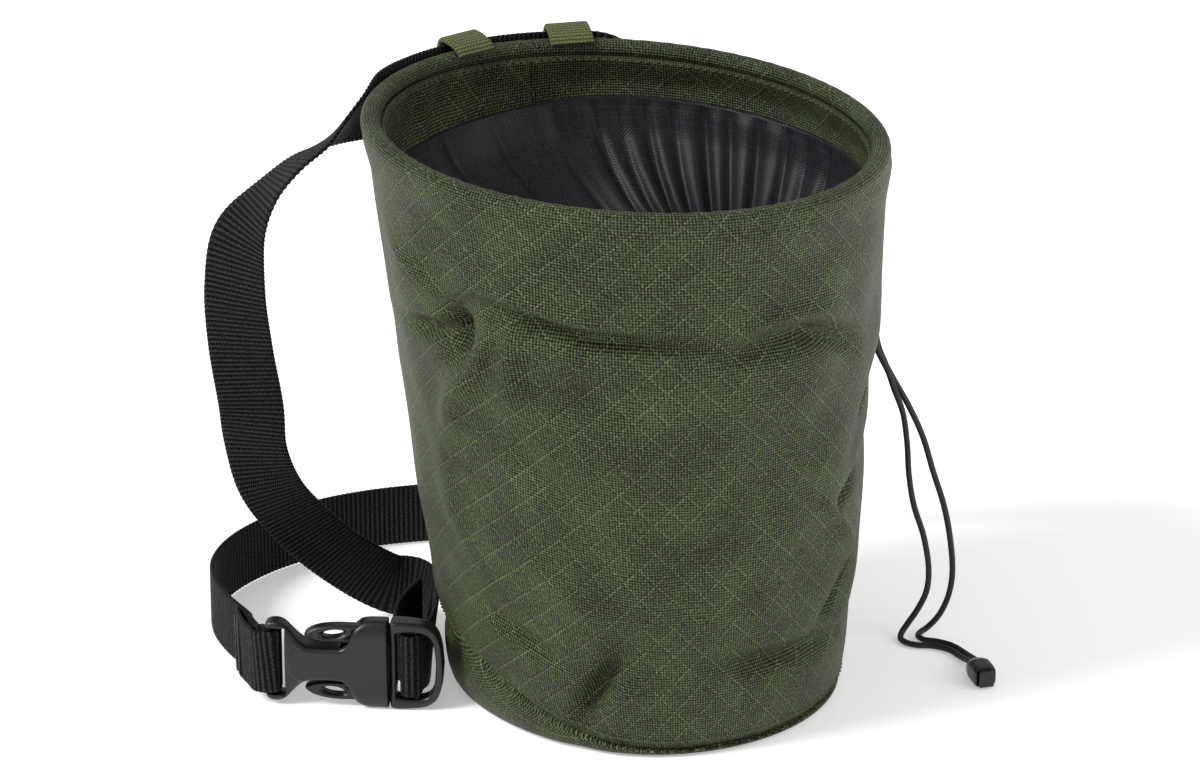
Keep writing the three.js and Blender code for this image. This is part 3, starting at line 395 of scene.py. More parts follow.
def smooth_path(points, step):
    """A centripetal Catmull-Rom curve through points, and its values at even spacing of about step."""
    points = np.asarray(points, dtype=float)
    ends = [2 * points[0] - points[1], *points, 2 * points[-1] - points[-2]]
    dense = []
    for p0, p1, p2, p3 in zip(ends, ends[1:], ends[2:], ends[3:]):
        d = [max(np.linalg.norm(b[:3] - a[:3]), 1e-9) ** 0.5 for a, b in ((p0, p1), (p1, p2), (p2, p3))]
        m1 = (p1 - p0) / d[0] - (p2 - p0) / (d[0] + d[1]) + (p2 - p1) / d[1]
        m2 = (p2 - p1) / d[1] - (p3 - p1) / (d[1] + d[2]) + (p3 - p2) / d[2]
        m1, m2 = m1 * d[1], m2 * d[1]
        t = np.linspace(0, 1, 24, endpoint=False)[:, None]
        dense.append(
            (2 * t**3 - 3 * t**2 + 1) * p1 + (t**3 - 2 * t**2 + t) * m1 + (3 * t**2 - 2 * t**3) * p2
            + (t**3 - t**2) * m2
        )
    dense = np.vstack(dense + [points[-1:]])
    run = run_along(dense[:, :3])
    at = np.linspace(0, run[-1], max(2, round(run[-1] / step) + 1))
    return np.stack([np.interp(at, run, dense[:, i]) for i in range(dense.shape[1])], axis=1), run[-1]


def strand(name, route):
    """A round cord along a route of (side, away, up) points in mm."""
    points, length = smooth_path([laid(*p) for p in route], 1.2)
    curve = bpy.data.curves.new(name, "CURVE")
    curve.dimensions = "3D"
    curve.bevel_depth = CORD_DIAMETER / 2 * MM
    curve.bevel_resolution = 3
    curve.use_fill_caps = True
    line = curve.splines.new("POLY")
    line.points.add(len(points) - 1)
    line.points.foreach_set("co", np.hstack([points * MM, np.ones((len(points), 1))]).ravel())
    line.use_smooth = True
    curve.materials.append(black_cord)
    piece = bpy.data.objects.new(name, curve)
    bpy.context.scene.collection.objects.link(piece)
    print(name, "is", round(length), "mm long")
    return piece, points, length


cord_a, route_a, length_a = strand("cord_strand_a", STRAND_A)
cord_b, route_b, length_b = strand("cord_strand_b", STRAND_B)

# %% [markdown]
# ## Moulded plastic
# A moulded buckle has no sharp edges, and its faces swell and sink into each other. Bevelling a solid with so
# many cuts is fragile. Here the shape is a field instead: a number at each point of a fine grid that is
# negative inside the plastic. Cutting and joining are then a larger-of and a smaller-of, and rounding them off
# rounds every edge. A net of squares is drawn where the field changes sign.


# %% Field helpers
def soft_max(a, b, reach):
    """The larger of two fields, with the corner where they meet rounded over a reach in mm."""
    h = np.clip(0.5 + 0.5 * (a - b) / reach, 0, 1)
    return b + (a - b) * h + reach * h * (1 - h)


def soft_min(a, b, reach):
    return -soft_max(-a, -b, reach)


def box_field(u, v, w, low, high):
    """Distance from a box: negative inside it."""
    gaps = [np.maximum(lo - x, x - hi) for x, lo, hi in zip((u, v, w), low, high)]
    outside = np.sqrt(sum(np.maximum(gap, 0) ** 2 for gap in gaps))
    return outside + np.minimum(np.maximum(np.maximum(gaps[0], gaps[1]), gaps[2]), 0)


def outline_field(points, u, v):
    """Distance from a closed outline: negative inside it."""
    start = np.asarray(points, dtype=float)
    end = np.roll(start, -1, axis=0)
    way = end - start
    x, y = u[..., None], v[..., None]
    long = np.maximum((way**2).sum(axis=1), 1e-12)
    share = np.clip(((x - start[:, 0]) * way[:, 0] + (y - start[:, 1]) * way[:, 1]) / long, 0, 1)
    gap = np.hypot(x - start[:, 0] - share * way[:, 0], y - start[:, 1] - share * way[:, 1]).min(axis=-1)
    rise = np.where(way[:, 1] == 0, 1e-9, way[:, 1])
    crosses = ((start[:, 1] > y) != (end[:, 1] > y)) & (x < way[:, 0] * (y - start[:, 1]) / rise + start[:, 0])
    return np.where(crosses.sum(axis=-1) % 2 == 1, -gap, gap)


def field_net(field, low, step):
    """Points and squares of the surface where a field on a grid changes sign."""
    inside = field < 0
    cells = np.array(field.shape) - 1
    total, count = np.zeros((*cells, 3)), np.zeros(cells)
    changes = []
    for axis in range(3):
        first = [slice(None)] * 3
        second = [slice(None)] * 3
        first[axis], second[axis] = slice(None, -1), slice(1, None)
        f0, f1 = field[tuple(first)], field[tuple(second)]
        change = inside[tuple(first)] != inside[tuple(second)]
        changes.append(change)
        share = np.where(change, f0 / np.where(f0 == f1, 1, f0 - f1), 0)
        others = [i for i in range(3) if i != axis]
        for corner in ((0, 0), (0, 1), (1, 0), (1, 1)):
            window = [slice(None)] * 3
            for other, shift in zip(others, corner):
                window[other] = slice(shift, shift + cells[other])
            hit = change[tuple(window)]
            count += hit
            total[..., axis] += share[tuple(window)] * hit
            for other, shift in zip(others, corner):
                total[..., other] += shift * hit
    active = count > 0
    number = np.full(cells, -1)
    number[active] = np.arange(active.sum())
    points = np.asarray(low) + (np.argwhere(active) + total[active] / count[active][:, None]) * step
    squares = []
    for axis in range(3):
        order = (axis, (axis + 1) % 3, (axis + 2) % 3)
        turned = np.moveaxis(number, order, (0, 1, 2))
        change = np.moveaxis(changes[axis], order, (0, 1, 2))[:, 1:-1, 1:-1]
        starts = np.moveaxis(inside, order, (0, 1, 2))[:-1, 1:-1, 1:-1][change]
        ring = [turned[:, :-1, :-1], turned[:, 1:, :-1], turned[:, 1:, 1:], turned[:, :-1, 1:]]
        quads = np.stack([part[change] for part in ring], axis=1)
        squares.append(np.where(starts[:, None], quads, quads[:, ::-1]))
    return points, np.vstack(squares)


def field_object(name, shape, low, high, step, place, finish):
    """shape gives the field from u, v and w; place turns u, v and w into a point of the bag."""
    axes = [np.arange(lo, hi + step, step) for lo, hi in zip(low, high)]
    field = shape(*np.meshgrid(*axes, indexing="ij"))
    points, squares = field_net(field, low, step)
    placed = place(points[:, 0], points[:, 1], points[:, 2])
    piece = add_object(name, placed, squares[:, ::-1].tolist(), finish=finish)
    print(name, "has", len(squares), "faces")
    return piece


def mirrored(upper):
    """A closed outline from its upper half."""
    dense, _ = smooth_path([(u, v, 0) for u, v in upper], 0.5)
    upper = dense[:, :2]
    return np.vstack([upper, upper[::-1] * [1, -1]])


print("the middle of a 2 mm box lies", -box_field(0, 0, 0, (-1, -1, -1), (1, 1, 1)), "mm inside it")

# %% [markdown]
# ## Cord end
# The strands are held in a small moulded end: a rounded body with a square plug pressed into it. A groove
# runs round the plug.

# %% Cord end
CORD_END_LENGTH, CORD_END_WIDTH, CORD_END_HEIGHT = 11.5, 7.4, 6.8
CORD_END_GRID = 0.17  # mm between the points where the field is worked out
CORD_END_FROM = laid(98.8, 0.45, 0)
CORD_END_WAY = unit(laid(0.27, -0.96, 0))
# share of the length, of the width and of the height
CORD_END_ROWS = [(0, 0.7, 0.72), (0.12, 0.88, 0.88), (0.35, 1, 1), (0.7, 0.96, 0.98), (1, 0.84, 0.92)]


def cord_end_field(u, v, w):
    """u along it, v across and w up."""
    share = np.clip(u / CORD_END_LENGTH, 0, 1)
    stations, widths, heights = zip(*CORD_END_ROWS)
    wide = np.interp(share, stations, widths) * CORD_END_WIDTH / 2
    tall = np.interp(share, stations, heights) * CORD_END_HEIGHT / 2
    square = 2.3 + 2.2 * share
    middle = w - tall
    section = ((np.abs(v) / wide) ** square + (np.abs(middle) / tall) ** square + 1e-9) ** (1 / square) - 1
    body = soft_max(section * CORD_END_WIDTH / 2, np.abs(u - 5.5) - 5.5, 1.6)
    plug = box_field(u, v, w, (9.0, -1.9, 0.9), (CORD_END_LENGTH - 0.45, 1.9, 5.3)) - 0.45
    pocket = box_field(u, v, w, (10.2, -2.35, 0.45), (14, 2.35, 5.75)) - 0.45
    holes = [np.hypot(v - side, w - 2.5) - 1.05 for side in (-1.1, 1.1)]
    hole = np.maximum(np.minimum(*holes), u - 1.2)
    return soft_max(soft_min(soft_max(body, -pocket, 0.4), plug, 0.15), -hole, 0.4)


def cord_end_spot(u, v, w):
    across = np.cross(CORD_END_WAY, UPRIGHT)
    return CORD_END_FROM + u[:, None] * CORD_END_WAY - v[:, None] * across + w[:, None] * UPRIGHT


end_piece = field_object(
    "cord_end_plug", cord_end_field, (-0.6, -4.3, -0.5), (12.4, 4.3, 7.6), CORD_END_GRID, cord_end_spot,
    black_acetal,
)
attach(end_piece, "root")
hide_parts("cord_end")

# %% [markdown]
# Each strand is attached to the bag's root body, and the solid it stands for is hidden.

for piece, route, length, solid in (
    (cord_a, route_a, length_a, "drawcord_a"),
    (cord_b, route_b, length_b, "drawcord_b"),
):
    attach(piece, "root")
    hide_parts(solid)

# %% [markdown]
# ## The shell's shape
# The shell is one wall of cloth round a leaning, tapered bag. Its radius follows a short profile, and folds
# push it in and out. A fold is a soft oval bump or dent. A crease is a line on the cloth with a narrow
# groove, ridge or lip along it. Adding both kinds to one radius keeps the cloth a single sheet.

# %% Profile and folds of the shell
SEAM_LOW, SEAM_RISE, SEAM_TURN, SEAM_SHARPNESS = 2.4, 20.6, 188, 2.4
PROFILE_UP = [0.0, 0.065, 0.14, 0.25, 0.36, 0.47, 0.575, 0.65, 0.79, 0.9, 0.965]
PROFILE_SWELL = [0.0, 0.12, 0.21, 0.35, 0.43, 0.52, 0.63, 0.74, 0.83, 0.89, 1.0]

# turn in degrees from the lay line, up a share of the height, long and wide shares of the mouth radius,
# slope in degrees, and depth a share of the mouth radius
FOLDS = [
    (-146, 0.69, 0.26, 0.075, 17, -0.03), (-104, 0.775, 0.5, 0.07, 2, -0.024),
    (-104, 0.84, 0.5, 0.09, 0, 0.014), (-44, 0.755, 0.36, 0.07, -14, -0.026),
    (-134, 0.715, 0.14, 0.09, 72, -0.05), (-146, 0.785, 0.18, 0.07, -13, 0.02),
    (-135, 0.6, 0.36, 0.09, 57, 0.03), (-119, 0.68, 0.24, 0.075, 78, 0.022),
    (-8, 0.575, 0.3, 0.08, 35, -0.028), (-22, 0.4, 0.24, 0.07, 15, -0.024),
    (-31, 0.35, 0.3, 0.08, -41, 0.026), (-24, 0.215, 0.26, 0.08, 35, -0.032),
    (-48, 0.16, 0.45, 0.07, -4, -0.024), (-104, 0.1, 0.22, 0.08, 55, -0.034),
    (-94, 0.2, 0.14, 0.12, 0, -0.02), (-126, 0.16, 0.3, 0.08, 4, -0.02),
    (24, 0.42, 0.4, 0.1, -38, -0.022), (62, 0.7, 0.34, 0.09, 24, -0.024),
    (78, 0.3, 0.36, 0.1, 50, 0.024), (112, 0.5, 0.42, 0.1, -30, -0.024),
    (138, 0.22, 0.3, 0.09, 12, -0.024), (160, 0.62, 0.34, 0.09, 64, 0.02),
    (178, 0.02, 0.6, 0.26, 0, 0.05), (180, 0.3, 0.5, 0.62, 0, 0.038),
]


def profile_swell(up):
    """The profile with its corners rounded, as cloth rounds them."""
    fine = np.linspace(-0.1, 1.1, 481)
    values = np.interp(fine, PROFILE_UP, PROFILE_SWELL)
    kernel = np.exp(-(np.linspace(-3, 3, 25) ** 2) / 2)
    values = np.convolve(np.pad(values, 12, mode="edge"), kernel / kernel.sum(), mode="valid")
    return np.interp(up, fine, values)


def fold_offset(angle, up):
    """How far the folds push each point out, in mm."""
    offset = np.zeros(np.broadcast(angle, up).shape)
    for turn, height, long, wide, slope, depth in FOLDS:
        level = angle - LAY_TURN - math.radians(turn)
        level = np.arctan2(np.sin(level), np.cos(level))
        rise = (up - height) * BAG_HEIGHT / MOUTH_RADIUS
        c, s = math.cos(math.radians(slope)), math.sin(math.radians(slope))
        along, across = (level * c + rise * s) / long, (rise * c - level * s) / wide
        offset += depth * MOUTH_RADIUS * np.exp(-(along**2) - across**2)
    return offset


def seam_height(angle):
    """The base seam is low in front and rises on the side that the bag leans to."""
    towards_high = np.cos(angle - LAY_TURN - math.radians(SEAM_TURN))
    return SEAM_LOW + SEAM_RISE * np.maximum(0, towards_high) ** SEAM_SHARPNESS


def rim_height(angle):
    """The rim is level but for a small dip along the lay line."""
    return BAG_HEIGHT - RIM_DROP / 2 * np.cos(angle - LAY_TURN)


def bag_point(angle, up, radius):
    """A point of the leaning bag: up is a share of the way from the base seam to the rim."""
    lean = laid(-BAG_LEAN * up, np.zeros_like(up), np.zeros_like(up))
    out = np.stack(np.broadcast_arrays(np.cos(angle), np.sin(angle), 0), axis=-1)
    height = seam_height(angle) + (rim_height(angle) - seam_height(angle)) * up
    return lean * [1, 1, 0] + out * radius[..., None] + np.stack([0 * height, 0 * height, height], axis=-1)


print("the shell has", len(FOLDS), "folds")

# %% [markdown]
# ### Creases
# Creases are what make flat shading read as cloth. Each is a short line across the shell with a width, a
# groove or ridge depth, and a lip: one side stands proud and the other falls in, as where stiff doubled cloth
# bulges over single cloth. Their ends taper to nothing.

# %% Creases of the shell
CREASE_GAIN, CREASE_REACH = 2.5, 12
# path of (turn, up) points; width, depth and lip in mm
CREASES = [
    # under the doubled band at the rim
    ([(-134, 0.771), (-128, 0.79), (-120, 0.8), (-110, 0.789), (-101, 0.781), (-88, 0.777), (-75, 0.768)],
     3.2, -0.9, 1.5),
    ([(-75, 0.768), (-60, 0.762), (-45, 0.77), (-30, 0.735)], 4.5, -0.5, 0.8),
    ([(-158, 0.665), (-150, 0.682), (-142, 0.7), (-136, 0.715)], 3.0, -0.8, 1.2),
    ([(-136, 0.75), (-134.5, 0.72), (-132.6, 0.672)], 3.6, -1.5, 0.0),
    ([(-156, 0.8), (-148, 0.786), (-137, 0.762)], 3.2, 0.9, 0.0),
    ([(-156, 0.785), (-150, 0.775), (-141, 0.75)], 2.6, -0.8, 0.0),
    # fans of tension below it
    ([(-125, 0.735), (-131, 0.66), (-138, 0.58), (-145, 0.49)], 4.0, 0.9, 0.3),
    ([(-117, 0.775), (-119, 0.7), (-122, 0.6)], 3.4, 0.8, 0.0),
    ([(-121, 0.76), (-124, 0.69), (-129, 0.6)], 3.0, -0.6, 0.0),
    ([(-66, 0.758), (-58, 0.776), (-50, 0.776), (-38, 0.745), (-27, 0.7)], 3.6, -0.5, 0.9),
    # right side
    ([(0, 0.615), (-8, 0.585), (-17, 0.535)], 3.0, -1.0, 0.8),
    ([(-14, 0.42), (-22, 0.398), (-31, 0.386)], 2.8, -0.8, 0.6),
    ([(-43, 0.435), (-32, 0.37), (-20, 0.29)], 3.4, 0.8, 0.5),
    ([(-17, 0.262), (-25, 0.22), (-34, 0.172)], 3.0, -1.0, 0.6),
    ([(-74, 0.176), (-58, 0.162), (-42, 0.158), (-24, 0.146)], 3.4, -0.8, 0.8),
    # pinch above the base in front
    ([(-97, 0.17), (-103, 0.11), (-110, 0.035)], 3.2, -1.7, 0.9),
    ([(-93, 0.13), (-98, 0.08), (-103, 0.02)], 3.4, 1.0, 0.0),
    ([(-142, 0.16), (-128, 0.152), (-112, 0.142)], 3.4, -0.8, 0.7),
    # broad soft hollows and swells over the front
    ([(-122, 0.7), (-108, 0.66), (-92, 0.665), (-78, 0.64)], 7.0, -0.6, 0.0),
    ([(-128, 0.55), (-112, 0.5), (-96, 0.505)], 6.0, -0.55, 0.2),
    ([(-70, 0.5), (-60, 0.42), (-52, 0.33)], 7.0, 0.6, 0.0),
    ([(-88, 0.42), (-80, 0.33), (-77, 0.24)], 8.0, -0.65, 0.0),
    ([(-125, 0.36), (-115, 0.29), (-104, 0.26)], 6.0, 0.5, 0.0),
    ([(-56, 0.62), (-46, 0.55), (-36, 0.5)], 6.0, -0.5, 0.2),
    ([(-150, 0.42), (-146, 0.32), (-139, 0.22)], 6.0, 0.6, 0.0),
    # the back and the far side
    ([(10, 0.46), (24, 0.42), (40, 0.37)], 3.6, -0.8, 0.7),
    ([(50, 0.68), (64, 0.71), (78, 0.72)], 3.4, -0.8, 0.6),
    ([(70, 0.24), (78, 0.3), (86, 0.38)], 3.6, 0.8, 0.0),
    ([(100, 0.55), (112, 0.5), (126, 0.46)], 3.4, -0.8, 0.6),
    ([(128, 0.21), (138, 0.22), (150, 0.235)], 3.4, -0.8, 0.7),
    ([(158, 0.54), (161, 0.63), (165, 0.7)], 3.4, 0.8, 0.0),
    ([(36, 0.19), (50, 0.17), (66, 0.175)], 3.0, -0.7, 0.6),
]


def crease_offset(angle, up):
    """How far the creases push each point out, in mm, on cloth laid flat at the shell's mean radius."""
    offset = np.zeros(np.broadcast(angle, up).shape)
    for path, width, depth, lip in CREASES:
        turns = np.radians([p[0] for p in path])
        heights = np.array([p[1] for p in path]) * BAG_HEIGHT
        nodes = np.stack([(turns - turns.mean()) * MEAN_RADIUS, heights, 0 * turns], axis=1)
        line, _ = smooth_path(nodes, 2.0)
        level = angle - LAY_TURN - turns.mean()
        x = np.arctan2(np.sin(level), np.cos(level)) * MEAN_RADIUS + 0 * up
        y = up * BAG_HEIGHT + 0 * angle
        near = (x > line[:, 0].min() - CREASE_REACH) & (x < line[:, 0].max() + CREASE_REACH)
        near &= (y > line[:, 1].min() - CREASE_REACH) & (y < line[:, 1].max() + CREASE_REACH)
        spots = np.stack([x[near], y[near]], axis=1)
        gaps = spots[:, None, :] - line[None, :, :2]
        span = np.hypot(gaps[..., 0], gaps[..., 1])
        closest = span.argmin(axis=1)
        way = unit(np.gradient(line[:, :2], axis=0))[closest]
        gap = gaps[np.arange(len(spots)), closest]
        side = (way[:, 0] * gap[:, 1] - way[:, 1] * gap[:, 0]) / width
        share = closest / (len(line) - 1)
        past = (way * gap).sum(axis=1) / width
        taper = np.sin(np.pi * np.clip(share, 0.04, 0.96)) ** 0.6 * np.exp(-(past**2))
        hump = np.exp(-(side**2))
        offset[near] += CREASE_GAIN * taper * (depth * hump + lip * 1.6 * side * np.exp(-(side**2) * 0.8))
    return offset


def shell_radius(angle, up, inset=0.0, fine=True):
    radius = BASE_RADIUS + (MOUTH_RADIUS - BASE_RADIUS) * profile_swell(up) + fold_offset(angle, up)
    if fine:
        radius = radius + crease_offset(angle, up) + ripple(angle, up)
    return radius - inset


def ripple(angle, up):
    """Faint waves all over, from a few sines with whole numbers of waves round the bag."""
    rng = np.random.default_rng(11)
    total = np.zeros(np.broadcast(angle, up).shape)
    for waves in (5, 7, 9, 12, 15, 19, 24):
        rise, phase = rng.uniform(-26, 26), rng.uniform(0, 6.28)
        total += np.sin(waves * angle + rise * up + phase) * 1.5 / waves
    return total * np.sin(np.pi * np.clip(up, 0, 1)) ** 0.5 * 1.3


print("and", len(CREASES), "creases")

# %% [markdown]
# ### Shell mesh
# The rows run up the outside, over the rolled rim and down the inside, so the cloth has its real thickness.
# The rim is a soft roll of cloth, drawn in a little where it is sewn inside the mouth.

# %% Shell
AROUND, SHELL_TOP = 400, 0.955
ANGLES = np.arange(AROUND) / AROUND * 2 * math.pi
UPS = np.concatenate([[0, 0.004], np.linspace(0.012, 0.96, 146)])


def roll_point(angle, turn, radius):
    """A point on the rim's roll: turn runs from straight out, over the top, to straight in."""
    lean = laid(-BAG_LEAN, 0, 0)[:2]
    out = MOUTH_RADIUS - RIM_BEAD / 2 + radius * math.cos(turn)
    height = rim_height(angle) - RIM_BEAD / 2 + radius * math.sin(turn)
    return np.stack([lean[0] + out * np.cos(angle), lean[1] + out * np.sin(angle), height], axis=-1)


def shell_row(up, inset=0.0):
    ups = np.full(AROUND, up)
    return bag_point(ANGLES, ups, shell_radius(ANGLES, ups, inset))


rows = [shell_row(up, 1.8 * math.exp(-((up * BAG_HEIGHT / 1.7) ** 2))) for up in UPS]
tension = 0.16 * np.sin(ANGLES * 70) + 0.1 * np.sin(ANGLES * 113 + 1)
for turn in np.radians(np.linspace(-22, 190, 17)):
    rows.append(roll_point(ANGLES, turn, RIM_BEAD / 2 + tension * max(0, math.sin(turn - 0.6)) * 0.5))
rows += [shell_row(up, SHELL_WALL) for up in np.linspace(SHELL_TOP, 0.0, 34)]
shell_grid = np.array(rows)


def cloth_map(grid, radius, close_rows):
    """How far each point is round the cloth, at a fixed radius, and along the rows, in mm."""
    steps = np.linalg.norm(np.diff(grid, axis=0), axis=2).mean(axis=1)
    down = np.concatenate([[0], np.cumsum(steps)])
    if close_rows:
        down = np.append(down, down[-1] + np.linalg.norm(grid[0] - grid[-1], axis=1).mean())
    around = np.arange(grid.shape[1] + 1) / grid.shape[1] * 2 * math.pi * radius
    return np.stack(np.meshgrid(around, down), axis=-1)


shell_cloth = cloth_map(shell_grid, MEAN_RADIUS, True)
shell = grid_object("bag_shell", shell_grid, shell_cloth, olive_ripstop, close_rows=True)
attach(shell, "root")
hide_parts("shell")
print("shell:", len(shell.data.polygons), "faces")

# %% [markdown]
# ## Facing
# Inside the mouth a band of the same cloth backs the shell. It is sewn to the roll at the top and to the
# collar below, so it puckers between its two seams, most of all at the back left, where a seam joins its ends.

# %% Facing
FACING_WALL, CLEARANCE, FACING_TOP, FACING_ROLL = 1.2, 0.35, 0.974, 2.9
FACING_TURN = math.radians(92)
COLLAR_TOP, COLLAR_DIP, COLLAR_DIP_TURN, FACING_LAP = 0.905, 0.045, 170, 0.012


def collar_top(angle):
    """Where the collar is sewn to the facing, as a share of the height: it dips on the leaning side."""
    towards_dip = np.cos(angle - LAY_TURN - math.radians(COLLAR_DIP_TURN))
    return COLLAR_TOP - COLLAR_DIP * np.maximum(0, towards_dip) ** 2


def facing_pucker(angle, t):
    """Soft folds between the two seams, with sharper ones near the joining seam. t runs from 0 to 1."""
    rng = np.random.default_rng(5)
    total = np.zeros_like(angle)
    for waves in (8, 11, 17, 23, 31):
        phase, slant = rng.uniform(0, 6.28), rng.uniform(-1.5, 1.5)
        total = total + np.sin(waves * angle + phase + slant * t) * 2.4 / waves
    crowd = np.exp(-((np.angle(np.exp(1j * (angle - FACING_TURN - 0.55))) / 0.55) ** 2))
    total = total + crowd * 0.8 * np.sin(26 * angle + 1.5 * t)
    return total * np.sin(np.pi * t) ** 0.7


def facing_rows(inset, shares):
    """Rows of the facing from the collar, at 0, to under the rim's roll, at 1."""
    away = np.abs(np.angle(np.exp(1j * (ANGLES - FACING_TURN)))) * MOUTH_RADIUS
    seam = 0.9 * np.exp(-((away / 0.8) ** 2)) - 0.3 * np.exp(-(((away - 2.0) / 1.1) ** 2))
    foot = collar_top(ANGLES) - FACING_LAP
    made = []
    for t in shares:
        up = foot + (FACING_TOP - foot) * t
        base = shell_radius(ANGLES, np.minimum(up, SHELL_TOP), 0, fine=False) - SHELL_WALL - CLEARANCE
        rise = min(1.0, max(0.0, (t - 0.35) / 0.6))
        roll = FACING_ROLL * rise * rise * (3 - 2 * rise)
        push = np.maximum(facing_pucker(ANGLES, t), -0.2) + 0.3
        made.append(bag_point(ANGLES, up, base - inset - push - roll + seam))
    return made


inside, outside = facing_rows(FACING_WALL, np.linspace(0, 1, 26)), facing_rows(0.0, np.linspace(1, 0, 8))
facing_grid = np.array(inside + outside)
facing_cloth = cloth_map(facing_grid, 74, True) + [3.0, 0]
facing = grid_object("mouth_facing", facing_grid, facing_cloth, olive_ripstop, close_rows=True, flip=True)
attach(facing, "root")
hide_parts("facing")
print("facing:", len(facing.data.polygons), "faces")

# %% [markdown]
# ## Collar
# A funnel of thin nylon hangs from the facing and is gathered on the drawcord at its throat. Gathering makes
# sharp pleats that start shallow at the facing and crowd together towards the throat. The pleats are narrow
# ridges at chosen turns, uneven as real gathers are, with soft bellies of cloth between them.

# %% Collar
COLLAR_WALL, COLLAR_DROP = 1.1, 42
THROAT_RADIUS, THROAT_SHIFT = 19, 22
PLEAT_ONSET = 16  # a pleat is full at 1/16 of the way down
COLLAR_DOWN = [0, 0.26, 0.48, 0.66, 0.8, 0.92, 1.08]
COLLAR_INWARD = [0, 0.08, 0.22, 0.41, 0.65, 0.88, 1]
# turn in degrees from the lay line, and how sharply the pleat stands
PLEAT_TURNS = [
    (6, 0.8), (15, 1.0), (24, 0.7), (31, 1.1), (40, 0.8), (47, 1.0), (56, 1.2), (64, 0.9), (71, 1.2), (79, 1.0),
    (86, 1.3), (93, 0.9), (99, 1.1), (110, 0.5), (126, 0.4), (143, 0.5), (158, 0.9), (171, 0.6), (184, 1.0),
    (196, 0.7), (207, 1.0), (220, 0.6), (236, 0.9), (250, 0.6), (263, 1.0), (277, 0.7), (291, 0.9), (304, 0.6),
    (318, 1.0), (330, 0.7), (342, 1.0), (353, 0.6),
]
COLLAR_AROUND = 720
COLLAR_ANGLES = np.arange(COLLAR_AROUND) / COLLAR_AROUND * 2 * math.pi


def pleat_height(angle, inward):
    """How far the pleats stand proud: at each turn a sharp ridge with a soft hollow beside it."""
    turn = np.degrees(angle - LAY_TURN)
    total = np.zeros_like(angle)
    for at, sharp in PLEAT_TURNS:
        gap = (turn - at + 180) % 360 - 180
        total += sharp * (np.exp(-((gap / 1.6) ** 2)) * 1.1 - np.exp(-(((gap - 3.6) / 3.2) ** 2)) * 0.9)
    rng = np.random.default_rng(3)
    for waves in (7, 11, 16, 27, 41):
        total += np.sin(waves * angle + rng.uniform(0, 6.28) + inward * rng.uniform(-1.4, 1.4)) * 1.6 / waves
    return total * (0.45 + 1.75 * inward**0.6)


def collar_rows(depth, shares):
    """Rows of the funnel from the facing to the throat, moved square to its slope by depth."""
    down = np.interp(shares, np.linspace(0, 1, 7), COLLAR_DOWN)
    inward = np.interp(shares, np.linspace(0, 1, 7), COLLAR_INWARD)
    kernel = np.exp(-(np.linspace(-2, 2, 9) ** 2) / 2)
    kernel /= kernel.sum()
    inward = np.convolve(np.pad(inward, 4, mode="edge"), kernel, mode="valid")
    sewn = collar_top(COLLAR_ANGLES)
    top = shell_radius(COLLAR_ANGLES, sewn, 0, fine=False) - SHELL_WALL - FACING_WALL - 2 * CLEARANCE
    run = top - THROAT_RADIUS
    made = []
    for i in range(len(shares)):
        lo, hi = max(0, i - 1), min(len(shares) - 1, i + 1)
        slope = np.arctan2((inward[hi] - inward[lo]) * run, (down[hi] - down[lo]) * COLLAR_DROP)
        offset = depth + pleat_height(COLLAR_ANGLES, inward[i]) * np.minimum(1, shares[i] * PLEAT_ONSET)
        radius = top - run * inward[i] + offset * np.cos(slope) + 0.2
        point = bag_point(COLLAR_ANGLES, sewn, radius)
        point = point + laid(THROAT_SHIFT * inward[i], 0, 0)
        point[:, 2] -= COLLAR_DROP * down[i] + offset * np.sin(slope)
        made.append(point)
    return made


shares = np.linspace(0, 1, 60)
collar_grid = np.array(collar_rows(-COLLAR_WALL * 0.8, shares) + collar_rows(0, shares)[::-1][::3])
collar_cloth = cloth_map(collar_grid, 60, True)
collar = grid_object(
    "gathered_collar", collar_grid, collar_cloth, charcoal_ripstop, close_rows=True, flip=True
)
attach(collar, "root")
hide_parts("collar")
print("collar:", len(collar.data.polygons), "faces")

# %% [markdown]
# ## Base panel
# The round base is a stiff disc of the same cloth. Its edge turns up inside the shell's lower edge, and on
# the side that the bag leans to it shows below the shell as a low wall.

# %% Base panel
BASE_WALL, BASE_LAP = 2, 0.026


# out as a share of the shell's lower radius, rise as a share of the seam's height, and tilt of the wall
BASE_ROWS = [
    (0.3, 0, 90), (0.6, 0, 90), (0.88, 0, 88), (0.905, 0.005, 84), (0.93, 0.03, 74), (0.952, 0.08, 62),
    (0.97, 0.16, 48), (0.984, 0.28, 34), (0.993, 0.42, 20), (0.998, 0.58, 8), (0.998, 0.74, 0),
    (0.992, 0.86, -6), (0.98, 0.95, -6), (0.966, 1.0, 0),
]


def base_rows(inner):
    """Rows of the base's skin from near its middle to the edge that laps up inside the shell."""
    zeros = np.zeros(AROUND)
    rim = shell_radius(ANGLES, zeros, 0.2, fine=False)
    seam = seam_height(ANGLES)
    made = []
    for out, rise, tilt in BASE_ROWS:
        point = bag_point(ANGLES, zeros, rim * out)
        point[:, 2] = seam * rise
        made.append((point, tilt))
    lap = zeros + BASE_LAP
    made.append((bag_point(ANGLES, lap, shell_radius(ANGLES, lap, SHELL_WALL + CLEARANCE, fine=False)), 0))
    if not inner:
        return [p for p, _ in made]
    out = np.stack([np.cos(ANGLES), np.sin(ANGLES), 0 * ANGLES], axis=-1)
    rows = []
    for point, tilt in made:
        t = math.radians(tilt)
        rows.append(point - out * BASE_WALL * math.cos(t) + np.array([0, 0, BASE_WALL * max(0, math.sin(t))]))
    return rows


